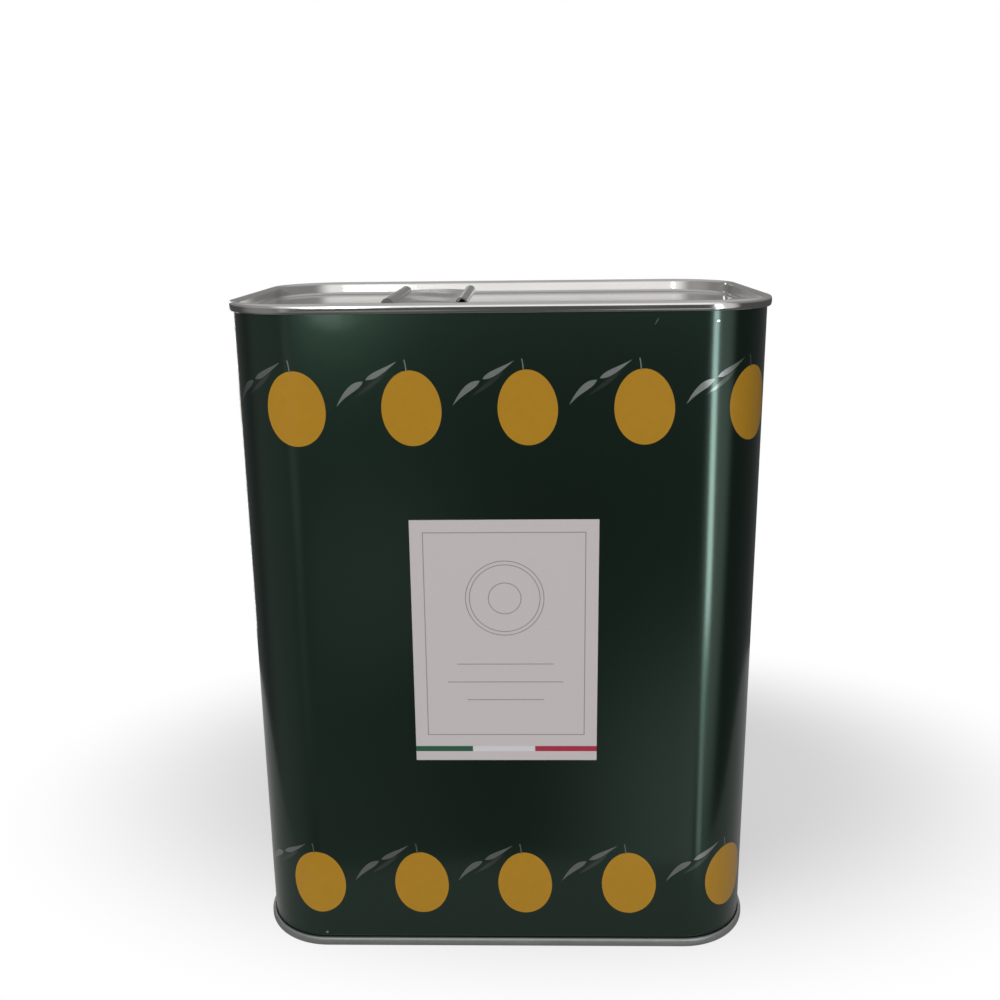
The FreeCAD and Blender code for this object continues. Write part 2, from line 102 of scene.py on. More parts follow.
def add_node(tree: Tree, kind: str, inputs: dict[Any, Any], **settings: Any) -> bpy.types.Node:
    """Add a node to a tree, with its settings, socket values and links.

    Args:
        tree: the node tree that the node joins.
        kind: the node's type name.
        inputs: values or output sockets, by the name or number of the input they go to.
        **settings: properties of the node itself.

    Returns:
        The new node.
    """
    node = tree.nodes.new(kind)
    for name, value in settings.items():
        setattr(node, name, value)
    for key, value in inputs.items():
        if isinstance(value, Socket):
            tree.links.new(value, node.inputs[key])
        else:
            node.inputs[key].default_value = value
    return node


def noise(tree: Tree, place: Socket, size_mm: float, detail: float = 2.0) -> Socket:
    """Add noise whose features are so many millimetres across."""
    inputs = {"Vector": place, "Scale": 1 / (size_mm * MM), "Detail": detail}
    return add_node(tree, "ShaderNodeTexNoise", inputs).outputs["Fac"]


def mix(tree: Tree, factor: Socket | float, first: Any, second: Any, **settings: Any) -> Socket:
    """Mix two colours, each a hex colour or a socket.

    Args:
        tree: the node tree.
        factor: share of the second colour.
        first: the first colour.
        second: the second colour.
        **settings: properties of the mix node.

    Returns:
        The mixed colour.
    """
    pair = [to_linear(colour) if isinstance(colour, str) else colour for colour in (first, second)]
    inputs = {"Factor": factor, "A": pair[0], "B": pair[1]}
    return add_node(tree, "ShaderNodeMix", inputs, data_type="RGBA", **settings).outputs["Result"]


def maths(tree: Tree, operation: str, *values: Socket | float) -> Socket:
    """Add a sum of numbers, by its operation's name."""
    return add_node(tree, "ShaderNodeMath", dict(enumerate(values)), operation=operation).outputs["Value"]


def ramp(
    tree: Tree,
    value: Socket,
    span: tuple[float, float],
    result: tuple[float, float] = (0.0, 1.0),
    curve: str = "SMOOTHSTEP",
) -> Socket:
    """Carry a number from one range to another, held at both ends.

    Args:
        tree: the node tree.
        value: the number.
        span: the range that it comes from.
        result: the range that it goes to.
        curve: the way between the two ends.

    Returns:
        The new number.
    """
    inputs = {"Value": value, "From Min": span[0], "From Max": span[1],
              "To Min": result[0], "To Max": result[1]}
    return add_node(tree, "ShaderNodeMapRange", inputs, interpolation_type=curve).outputs["Result"]


def reach_share(tree: Tree, place: Socket, centre: Sequence[float], reach: Sequence[float]) -> Socket:
    """Measure how far a place is from a centre, as a share of a reach along each axis.

    Args:
        tree: the node tree.
        place: the place.
        centre: the centre.
        reach: the reach along each axis.

    Returns:
        The share, which is 1 on an ellipsoid.
    """
    offset = add_node(tree, "ShaderNodeVectorMath", {0: place, 1: centre}, operation="SUBTRACT")
    inputs = {0: offset.outputs["Vector"], 1: reach}
    share = add_node(tree, "ShaderNodeVectorMath", inputs, operation="DIVIDE").outputs["Vector"]
    return add_node(tree, "ShaderNodeVectorMath", {0: share}, operation="LENGTH").outputs["Value"]


def bump(tree: Tree, height: Socket, strength: float, depth_mm: float) -> Socket:
    """Turn a height into a bumped normal."""
    inputs = {"Height": height, "Strength": strength, "Distance": depth_mm * MM}
    return add_node(tree, "ShaderNodeBump", inputs).outputs["Normal"]


def start_material(name: str) -> tuple[Material, Tree, Socket]:
    """Start a material.

    Args:
        name: the material's name.

    Returns:
        The material, its empty node tree and the object's own coordinates in it.
    """
    material = bpy.data.materials.new(name)
    material.use_nodes = True
    tree = material.node_tree
    tree.nodes.clear()
    return material, tree, add_node(tree, "ShaderNodeTexCoord", {}).outputs["Object"]


def principled(tree: Tree, inputs: dict[str, Any]) -> None:
    """End a material's tree with one Principled shader."""
    shader = add_node(tree, "ShaderNodeBsdfPrincipled", inputs)
    add_node(tree, "ShaderNodeOutputMaterial", {"Surface": shader.outputs["BSDF"]})


@dataclass(frozen=True)
class Patch:
    """A grid of points, with optional wraps and caps, that becomes faces of a mesh.

    Attributes:
        points: rows by columns by three coordinates.
        wrap_rows: join the last row to the first.
        wrap_columns: join the last column to the first.
        capped: fill the first row and the last row with one face each.
        uv: rows by columns by two texture coordinates.
    """

    points: np.ndarray
    wrap_rows: bool = False
    wrap_columns: bool = False
    capped: bool = False
    uv: Optional[np.ndarray] = None

    def faces(self, offset: int) -> list[list[int]]:
        """Number the corners of each face.

        Args:
            offset: the number of the patch's first point in its mesh.

        Returns:
            The corner numbers of each face.
        """
        rows, columns = self.points.shape[:2]
        numbers = np.arange(rows * columns).reshape(rows, columns) + offset
        caps = [numbers[0, ::-1].tolist(), numbers[-1].tolist()] if self.capped else []
        if self.wrap_columns:
            numbers = np.concatenate([numbers, numbers[:, :1]], axis=1)
        if self.wrap_rows:
            numbers = np.concatenate([numbers, numbers[:1]], axis=0)
        corners = (numbers[:-1, :-1], numbers[:-1, 1:], numbers[1:, 1:], numbers[1:, :-1])
        return np.stack(corners, axis=-1).reshape(-1, 4).tolist() + caps


def bar(points: np.ndarray, uv: Optional[np.ndarray] = None) -> Patch:
    """Make a closed patch of a section carried along a path, with both ends filled."""
    return Patch(points, wrap_columns=True, capped=True, uv=uv)


def make_piece(
    name: str,
    patches: Sequence[Patch],
    material: Material,
    sharp_degrees: float = 40.0,
) -> Piece:
    """Join patches into one mesh whose faces point outwards.

    Args:
        name: the piece's name.
        patches: the grids that it is made of.
        material: its finish.
        sharp_degrees: edges that turn by more than this stay sharp.

    Returns:
        The new object, at the origin with its place in its mesh.
    """
    offsets = np.cumsum([0] + [patch.points.shape[0] * patch.points.shape[1] for patch in patches])
    points = np.concatenate([patch.points.reshape(-1, 3) for patch in patches])
    faces = [face for patch, start in zip(patches, offsets) for face in patch.faces(int(start))]
    mesh = bpy.data.meshes.new(name)
    mesh.from_pydata(points.tolist(), [], faces)
    if all(patch.uv is not None for patch in patches):
        corner_numbers = np.empty(len(mesh.loops), dtype=np.int32)
        mesh.loops.foreach_get("vertex_index", corner_numbers)
        uv = np.concatenate([patch.uv.reshape(-1, 2) for patch in patches])
        layer = mesh.uv_layers.new(name="surface")
        layer.data.foreach_set("uv", uv[corner_numbers].astype(np.float32).ravel())
    shell = bmesh.new()
    shell.from_mesh(mesh)
    bmesh.ops.remove_doubles(shell, verts=shell.verts, dist=MERGE_DISTANCE)
    bmesh.ops.dissolve_degenerate(shell, edges=shell.edges, dist=MERGE_DISTANCE)
    bmesh.ops.recalc_face_normals(shell, faces=shell.faces)
    shell.to_mesh(mesh)
    shell.free()
    mesh.polygons.foreach_set("use_smooth", np.ones(len(mesh.polygons), dtype=bool))
    mesh.set_sharp_from_angle(angle=math.radians(sharp_degrees))
    mesh.materials.append(material)
    piece = bpy.data.objects.new(name, mesh)
    bpy.context.scene.collection.objects.link(piece)
    LOG.info("%s: %d faces", name, len(mesh.polygons))
    return piece


def fit(piece: Piece, body: str, slot: str, *nodes: str) -> Piece:
    """Let a piece ride on a body of the frame.

    Args:
        piece: the piece.
        body: the body that carries it.
        slot: the finish's slot; not used.
        *nodes: the solids that it stands for.

    Returns:
        The piece.
    """
    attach(piece, body)
    if nodes:
        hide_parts(*nodes)
    return piece


def there_and_back(line: np.ndarray) -> np.ndarray:
    """Follow a line to its end and back again."""
    return np.concatenate([line, line[::-1]])


def two_levels(line: np.ndarray, first: float, second: float) -> np.ndarray:
    """Give one level on the way along a line, and another on the way back."""
    return np.concatenate([np.full_like(line, first), np.full_like(line, second)])


def soften(
    corners: Sequence[tuple[float, float, float]],
    steps: int = 6,
    closed: bool = False,
) -> np.ndarray:
    """Round the corners of a polyline.

    Each corner becomes a quadratic curve from a point one radius before it to a point one radius
    after it, with the corner as its control point. No radius takes more than half of a side.

    Args:
        corners: across, up and radius of each corner.
        steps: spans of each rounded corner.
        closed: the last corner joins the first.

    Returns:
        The points of the rounded line, by two coordinates.
    """
    table = np.array(corners, dtype=float)
    places, radii = table[:, :2], table[:, 2:]
    before = np.roll(places, 1, axis=0) - places
    after = np.roll(places, -1, axis=0) - places
    before_length = np.maximum(np.linalg.norm(before, axis=1, keepdims=True), TINY)
    after_length = np.maximum(np.linalg.norm(after, axis=1, keepdims=True), TINY)
    start = places + before / before_length * np.minimum(radii, before_length / 2)
    stop = places + after / after_length * np.minimum(radii, after_length / 2)
    if not closed:
        start[[0, -1]] = places[[0, -1]]
        stop[[0, -1]] = places[[0, -1]]
    share = np.linspace(0, 1, steps + 1)[None, :, None]
    curves = (
        (1 - share) ** 2 * start[:, None]
        + 2 * share * (1 - share) * places[:, None]
        + share ** 2 * stop[:, None]
    )
    line = curves.reshape(-1, 2)
    moved = np.linalg.norm(np.diff(line, axis=0), axis=1) > MERGE_DISTANCE
    return line[np.concatenate([[True], moved])]


def revolve(line: np.ndarray, axis: Sequence[float], columns: int = 96, closed: bool = False) -> Patch:
    """Carry a line of radii and heights round a vertical axis.

    Args:
        line: radius and height of each point.
        axis: a point on the axis, from which heights are measured.
        columns: steps of a full turn.
        closed: the last point joins the first.

    Returns:
        A patch of the turned surface.
    """
    turn = np.linspace(0, 2 * np.pi, columns, endpoint=False)
    radius, height = line[:, :1], line[:, 1:]
    points = np.stack([
        axis[0] + radius * np.cos(turn),
        axis[1] + radius * np.sin(turn),
        axis[2] + height + 0 * turn,
    ], axis=-1)
    return Patch(points, wrap_rows=closed, wrap_columns=True)


def blade(
    start: Sequence[float],
    stop: Sequence[float],
    width: float,
    ink: float,
    bow: float = 0.0,
    taper: float = 5.0,
) -> tuple[np.ndarray, ...]:
    """Shape a slender flat blade about a bowed midrib.

    The width grows in proportion to the share s of the length from the start, and is then rounded
    off at the stop by one less s to a power. A power of nought keeps an even width.

    Args:
        start: the pointed tip, across and up.
        stop: the rounded end, across and up.
        width: greatest width.
        ink: height of its face above the wall, and depth of its back below it.
        bow: how far the midrib bows to its left, as a share of its length.
        taper: the power that rounds the end.

    Returns:
        Places across and up, and the lift, on a grid that is closed from column to column.
    """
    share = np.linspace(0, 1, 33)[:, None]
    first, last = np.array(start), np.array(stop)
    way = last - first
    side = np.array([-way[1], way[0]])
    middle = first + way * share + side * bow * 4 * share * (1 - share)
    edge = np.linspace(-1, 1, 7)
    fullness = share * (1 - share ** taper) if taper else np.ones_like(share)
    offset = width / 2 * fullness / fullness.max() * there_and_back(edge)
    unit = side / np.linalg.norm(side)
    across = middle[:, :1] + offset * unit[0]
    up = middle[:, 1:] + offset * unit[1]
    return across, up, two_levels(edge, ink, -ink) + 0 * across


@dataclass(frozen=True)
class GreenLacquer:
    """Stoved green lacquer over rolled tinplate, under a clear varnish.

    The sheet's rolling lines run round the body, so a light draws out into a tall streak on it. A
    hazy paler patch under the top seam, left of the middle of the front, is a painted reflection.

    Attributes:
        patch_colour: its slow darker mottle.
        painted_sheen_colour: the paler colour of the painted reflection.
        metallic: how much of the sheet shines through.
        roughness: of the sheet.
        streak: how far a light draws out.
        varnish: strength of the varnish.
        peel_mm: size of the varnish's orange peel.
        peel: strength and depth of it, in millimetres.
        sheen_edge_mm: size of the painted reflection's ragged edge.
        sheen_strength: in its middle.
        sheen_fade: shares of its reach, with the ragged edge added, between which it fades.
    """

    colour: str = "#254233"
    patch_colour: str = "#223d2e"
    painted_sheen_colour: str = "#4f6459"
    metallic: float = 0.92
    roughness: float = 0.19
    streak: float = 0.6
    varnish: float = 1.0
    varnish_roughness: float = 0.16
    mottle_mm: float = 45.0
    peel_mm: float = 1.6
    peel: tuple[float, float] = (0.02, 0.1)
    sheen_edge_mm: float = 2.2
    sheen_strength: float = 0.6
    sheen_fade: tuple[float, float] = (0.5, 1.5)
    sheen_centre: tuple[float, float, float] = (-48 * MM, -49.6 * MM, 208 * MM)
    sheen_reach: tuple[float, float, float] = (9.5 * MM, 4 * MM, 5.5 * MM)

    def build(self) -> Material:
        """Make the material.

        Returns:
            The material.
        """
        material, tree, place = start_material("green_lacquer")
        colour = mix(tree, noise(tree, place, self.mottle_mm, 3.0), self.colour, self.patch_colour)
        # Painted reflection: a paler hazy patch under the top seam, mixed into the base colour.
        reach = reach_share(tree, place, self.sheen_centre, self.sheen_reach)
        ragged = maths(tree, "ADD", reach, noise(tree, place, self.sheen_edge_mm))
        painted_sheen = ramp(tree, ragged, self.sheen_fade, (self.sheen_strength, 0.0))
        tangent = add_node(tree, "ShaderNodeTangent", {}, direction_type="UV_MAP", uv_map="surface")
        principled(tree, {
            "Base Color": mix(tree, painted_sheen, colour, self.painted_sheen_colour),
            "Metallic": self.metallic,
            "Roughness": self.roughness,
            "Anisotropic": self.streak,
            "Tangent": tangent.outputs["Tangent"],
            "Coat Weight": self.varnish,
            "Coat Roughness": self.varnish_roughness,
            "Coat Normal": bump(tree, noise(tree, place, self.peel_mm), *self.peel)})
        return material


@dataclass(frozen=True)
class Tinplate:
    """Bright rolled tinplate: fine parallel rolling lines and faint cloudy handling marks.

    Rolling lines are finer than a pixel, so they are drawn half a millimetre apart.

    Attributes:
        dull_colour: the handled sheet.
        roughness: where both patterns are low, and where they are high.
        line_mm: between rolling lines.
        line_bump: strength and depth of the lines, in millimetres.
        cloud_mm: size of the handling marks.
        cloud_span: strengths of both patterns together between which the roughness changes.
    """

    name: str
    colour: str = "#eeece9"
    dull_colour: str = "#dedcd9"
    roughness: tuple[float, float] = (0.09, 0.16)
    line_mm: float = 0.5
    line_length_mm: float = 30.0
    line_bump: tuple[float, float] = (0.02, 0.05)
    cloud_mm: float = 14.0
    cloud_span: tuple[float, float] = (0.1, 0.5)

    def build(self) -> Material:
        """Make the material.

        Returns:
            The material.
        """
        material, tree, place = start_material(self.name)
        stretched = add_node(tree, "ShaderNodeMapping", {
            "Vector": place, "Scale": (self.line_mm / self.line_length_mm, 1.0, 1.0)})
        lines = noise(tree, stretched.outputs["Vector"], self.line_mm)
        both = maths(tree, "MULTIPLY", lines, noise(tree, place, self.cloud_mm, 4.0))
        principled(tree, {
            "Base Color": mix(tree, both, self.dull_colour, self.colour),
            "Metallic": 1.0,
            "Roughness": ramp(tree, both, self.cloud_span, self.roughness, "LINEAR"),
            "Normal": bump(tree, lines, *self.line_bump)})
        return material


@dataclass(frozen=True)
class Ink:
    """Offset ink printed on the sheet under the varnish: flat colour with a fine mottle.

    Attributes:
        metallic: how much it shines like the sheet.
        varnish: strength of the varnish.
        gloss: strength of the ink's own reflection.
    """

    name: str
    colour: str
    mottle_colour: str
    metallic: float = 0.0
    roughness: float = 0.38
    mottle_mm: float = 2.5
    varnish: float = 0.0
    varnish_roughness: float = 0.16
    gloss: float = 0.2

    def build(self) -> Material:
        """Make the material.

        Returns:
            The material.
        """
        material, tree, place = start_material(self.name)
        mottle = noise(tree, place, self.mottle_mm, 3.0)
        principled(tree, {
            "Base Color": mix(tree, mottle, self.colour, self.mottle_colour),
            "Metallic": self.metallic,
            "Roughness": self.roughness,
            "Specular IOR Level": self.gloss,
            "Coat Weight": self.varnish,
            "Coat Roughness": self.varnish_roughness})
        return material


@dataclass(frozen=True)
class Moulding:
    """A moulded plastic or rubber piece: even colour and a fine moulded grain.

    Attributes:
        roughness: in the middle of its range.
        see_through: how much light passes into it.
        roughness_spread: to either side of the middle.
        grain_bump: strength and depth of the grain, in millimetres.
        light_depth: how far red, green and blue light pass into it.
    """

    name: str
    colour: str
    roughness: float = 0.4
    see_through: float = 0.0
    roughness_spread: float = 0.06
    grain_mm: float = 0.6
    grain_bump: tuple[float, float] = (0.06, 0.05)
    light_depth: tuple[float, float, float] = (2 * MM, 2 * MM, 1.6 * MM)

    def build(self) -> Material:
        """Make the material.

        Returns:
            The material.
        """
        material, tree, place = start_material(self.name)
        grain = noise(tree, place, self.grain_mm)
        span = (self.roughness - self.roughness_spread, self.roughness + self.roughness_spread)
        principled(tree, {
            "Base Color": to_linear(self.colour),
            "Roughness": ramp(tree, grain, (0.0, 1.0), span, "LINEAR"),
            "Normal": bump(tree, grain, *self.grain_bump),
            "Subsurface Weight": self.see_through,
            "Subsurface Radius": self.light_depth,
            "Subsurface Scale": 1.0})
        return material


@dataclass(frozen=True)
class PlanLoop:
    """The tin's plan: a rounded rectangle, measured along the outer face of its wall.

    Every loop round the tin is a core rectangle pushed out by a radius, so loops at different
    insets share their corners' centres. A place along the loop is a length in metres from the
    middle of the front, to the right.

    Attributes:
        half_width: half of the width over the seams.
        half_depth: half of the depth over the seams.
        corner: corner radius over the seams.
        wall_inset: from the seams' outer face to the wall's outer face.
    """

    half_width: float
    half_depth: float
    corner: float
    wall_inset: float

    @property
    def core(self) -> tuple[float, float]:
        """Half sizes of the core rectangle."""
        return self.half_width - self.corner, self.half_depth - self.corner

    @property
    def breaks(self) -> np.ndarray:
        """Lengths at which flats and corners meet, from the front's middle and back to it.

        Returns:
            Ten lengths, of which the first is nought.
        """
        flat_x, flat_y = self.core
        bend = (self.corner - self.wall_inset) * np.pi / 2
        runs = [0, flat_x, bend, 2 * flat_y, bend, 2 * flat_x, bend, 2 * flat_y, bend, flat_x]
        return np.cumsum(runs)

    @property
    def length(self) -> float:
        """Length of the whole loop."""
        return float(self.breaks[-1])

    def place(self, along: np.ndarray, inset: np.ndarray | float) -> tuple[np.ndarray, ...]:
        """Find points of the loop at an inset from the seams' outer face.

        The core point and the normal's angle are linear between the breaks, and the point is the
        core point plus the normal times the corner radius less the inset.

        Args:
            along: lengths from the front's middle, to the right.
            inset: distance inside the seams' outer face.

        Returns:
            X and Y of the points, and how flat the sheet is there: 1 in the middle of a face and
            0 on the corners.
        """
        flat_x, flat_y = self.core
        around = np.mod(along, self.length)
        core_x = np.interp(around, self.breaks, flat_x * np.array([0, 1, 1, 1, 1, -1, -1, -1, -1, 0]))
        core_y = np.interp(around, self.breaks, flat_y * np.array([-1, -1, -1, 1, 1, 1, 1, -1, -1, -1]))
        angle = np.interp(around, self.breaks, np.pi / 2 * np.array([0, 0, 1, 1, 2, 2, 3, 3, 4, 4]))
        reach = self.corner - inset
        flatness = 2 - (core_x / flat_x) ** 2 - (core_y / flat_y) ** 2
        return core_x + np.sin(angle) * reach, core_y - np.cos(angle) * reach, flatness

    def stations(self, flat_steps: int = 30, bend_steps: int = 28) -> np.ndarray:
        """Choose lengths for the columns of a loop, from the back's middle and back to it.

        Args:
            flat_steps: steps on a long flat.
            bend_steps: steps on each corner.

        Returns:
            The lengths, with the last one a whole loop after the first.
        """
        half = flat_steps // 2
        counts = [0, half, bend_steps, half, bend_steps, flat_steps, bend_steps, half, bend_steps, half]
        marks = np.cumsum(counts)
        lengths = np.interp(np.arange(marks[-1] + 1), marks, self.breaks)
        start = int(np.argmin(np.abs(lengths - self.length / 2)))
        return np.concatenate([lengths[start:-1], lengths[:start + 1] + self.length])


@dataclass
class TinBody:
    """The lacquered body: its wall and the lap of its side weld.

    Attributes:
        hook_drop: from each seam's land to the end of the wall inside the seam.
        dish: how far the middle of a face is drawn in.
        weld_proud: how far the lap stands out from the wall.
        weld_end: from the ground, and from the top, to the lap's ends.
    """

    plan: PlanLoop
    height: float
    hook_drop: float = 0.6 * MM
    thickness: float = 0.3 * MM
    dish: float = 0.12 * MM
    weld_width: float = 1.6 * MM
    weld_proud: float = 0.12 * MM
    weld_end: float = 3.3 * MM

    def wall(self, along: np.ndarray, up: np.ndarray, lift: np.ndarray | float) -> np.ndarray:
        """Find points on the wall.

        The wall is the plan's loop, drawn in on each face by half a sine wave up the height times
        a parabola across the face.

        Args:
            along: lengths from the front's middle, to the right.
            up: heights above the ground.
            lift: distance outside the wall's outer face.

        Returns:
            The points, by three coordinates.
        """
        along, up, lift = np.broadcast_arrays(along, up, lift)
        flatness = self.plan.place(along, 0.0)[2]
        drawn_in = self.dish * flatness * np.sin(np.pi * np.clip(up / self.height, 0, 1))
        x, y, _ = self.plan.place(along, self.plan.wall_inset + drawn_in - lift)
        return np.stack([x, y, up], axis=-1)

    def build_shell(self, lacquer: Material) -> Piece:
        """Make the body's wall, a closed thin tube.

        Args:
            lacquer: the finish outside.

        Returns:
            The wall.
        """
        along = self.plan.stations()[None, :]
        rise = np.linspace(self.hook_drop, self.height - self.hook_drop, 61)
        up = there_and_back(rise)[:, None]
        points = self.wall(along, up, two_levels(rise, 0.0, -self.thickness)[:, None])
        uv = np.stack(np.broadcast_arrays(up, along), axis=-1)
        shell = make_piece("body_shell", [Patch(points, wrap_rows=True, uv=uv)], lacquer)
        return fit(shell, "tin", "green_lacquer", "body_wall")

    def build_weld(self, lacquer: Material) -> Piece:
        """Make the raised lap of the side weld, up the middle of the back.

        Args:
            lacquer: the finish, which runs over the lap.

        Returns:
            The lap.
        """
        half, proud = self.weld_width / 2, self.weld_proud
        section = soften([
            (-half, -self.thickness / 2, 0), (half, -self.thickness / 2, 0),
            (half, proud, proud), (-half, proud, proud)], closed=True)[None]
        up = np.linspace(self.weld_end, self.height - self.weld_end, 61)[:, None]
        points = self.wall(self.plan.length / 2 + section[..., 0], up, section[..., 1])
        uv = np.stack(np.broadcast_arrays(up, section[..., 0]), axis=-1)
        return fit(make_piece("side_weld_lap", [bar(points, uv)], lacquer), "tin", "green_lacquer")


@dataclass
class PressedEnd:
    """The lid or the base: double seam, chuck wall and panel, pressed from one sheet.

    Attributes:
        fold: from the seam's outer face to the inner face of its cover hook.
        chuck: from the seam's outer face to the outer face of the chuck wall.
        flare: how far the chuck wall leans in towards the panel.
        countersink: from the seam's land to the panel.
        foot_round: rounding of the seam's other edge.
        hook_round: rounding of that edge inside the fold, as a share of it.
        panel_edge: from the seam's outer face to where the panel is flat.
        step_inset: from the seam's outer face to the step in the base's panel.
        step_edge: from the seam's outer face to where the raised panel is flat.
        buckle: how far the lid's panel is out of flat.
        buckle_waves: lengths over which it turns by one radian, along X and Y.
        hole: centre and radius of the hole for the spout, in the lid.
    """

    plan: PlanLoop
    height: float
    end: End
    sheet: float = 0.32 * MM
    seam_height: float = 3.0 * MM
    fold: float = 1.16 * MM
    chuck: float = 1.68 * MM
    flare: float = 0.4 * MM
    countersink: float = 4.4 * MM
    land_round: float = 1.2 * MM
    foot_round: float = 1.5 * MM
    hook_round: float = 0.2
    panel_round: float = 1.1 * MM
    panel_edge: float = 6.0 * MM
    step_inset: float = 14.32 * MM
    step_rise: float = 1.0 * MM
    step_round: float = 0.7 * MM
    step_edge: float = 19.0 * MM
    buckle: float = 0.1 * MM
    buckle_waves: tuple[float, float] = (31 * MM, 23 * MM)
    hole: tuple[float, float, float] = (0.0, 0.0, 0.0)

    def loops(self, line: np.ndarray) -> np.ndarray:
        """Carry a line of insets and drops round the plan.

        Args:
            line: inset from the seam's outer face and drop from its land, of each point.

        Returns:
            Rows of points, by three coordinates.
        """
        inset, drop = line[:, :1], line[:, 1:]
        x, y, _ = self.plan.place(self.plan.stations()[None, :-1], inset)
        level = self.height - drop if self.end is End.LID else drop
        return np.stack([x, y, level + 0 * x], axis=-1)

    def rim(self) -> np.ndarray:
        """The fold of the seam from inside its slot, over its land and down to the panel's edge."""
        inner = self.chuck + self.sheet
        return self.loops(soften([
            (self.fold, self.sheet, 0), (self.fold, self.seam_height, self.hook_round * self.foot_round),
            (0, self.seam_height, self.foot_round), (0, 0, self.land_round),
            (inner, 0, self.land_round), (inner + self.flare, self.countersink, self.panel_round),
            (self.panel_edge, self.countersink, 0)], steps=8))

    def under(self) -> np.ndarray:
        """The other side of the sheet, from the panel's edge back into the seam's slot."""
        level = self.countersink + self.sheet
        return self.loops(soften([
            (self.panel_edge, level, 0), (self.chuck + self.flare, level, self.panel_round + self.sheet),
            (self.chuck, self.sheet, 0)], steps=8))

    def pierced_panel(self, drop: float) -> np.ndarray:
        """The lid's panel, as straight lines from its edge to the rim of the spout's hole.

        The sheet buckles a little, by a sine wave along X times a cosine wave along Y, which fades
        out at the edge and the rim.

        Args:
            drop: from the seam's land.

        Returns:
            Rows of points from the edge to the hole, without the edge itself.
        """
        edge = self.loops(np.array([[self.panel_edge, drop]]))
        centre = np.array([self.hole[0], self.hole[1], edge[0, 0, 2]])
        ways = edge - centre
        rim = centre + ways / np.linalg.norm(ways, axis=-1, keepdims=True) * self.hole[2]
        share = np.linspace(0, 1, 25)[1:, None, None]
        rows = edge * (1 - share) + rim * share
        waves = np.sin(rows[..., 0] / self.buckle_waves[0]) * np.cos(rows[..., 1] / self.buckle_waves[1])
        rows[..., 2] += self.buckle * waves * np.sin(np.pi * share[..., 0])
        return rows

    def stepped_panel(self, level: float, inset: float) -> np.ndarray:
        """One side of the base's panel, from its raised middle over the step to its edge.

        Args:
            level: height of the lower part.
            inset: of the step from the seam's outer face.

        Returns:
            Rows of points, with the edge last.
        """
        high = level + self.step_rise
        return self.loops(soften([
            (self.step_edge, high, 0), (inset, high, self.step_round),
            (inset, level, self.step_round), (self.panel_edge, level, 0)]))

    def build(self, tinplate: Material) -> Piece:
        """Make the end.

        Args:
            tinplate: its finish.

        Returns:
            The end.
        """
        inside = self.countersink + self.sheet
        if self.end is End.LID:
            upper, lower = self.pierced_panel(self.countersink), self.pierced_panel(inside)[::-1]
            rows = np.concatenate([self.rim(), upper, lower, self.under()])
            piece = make_piece("lid", [Patch(rows, wrap_rows=True, wrap_columns=True)], tinplate)
        else:
            lower = self.stepped_panel(self.countersink, self.step_inset)[:-1]
            upper = self.stepped_panel(inside, self.step_inset - self.sheet)[::-1][1:]
            rows = np.concatenate([lower, self.rim()[::-1], self.under()[::-1], upper])
            piece = make_piece("base", [bar(rows)], tinplate)
        return fit(piece, "tin", "tinplate", self.end.value)


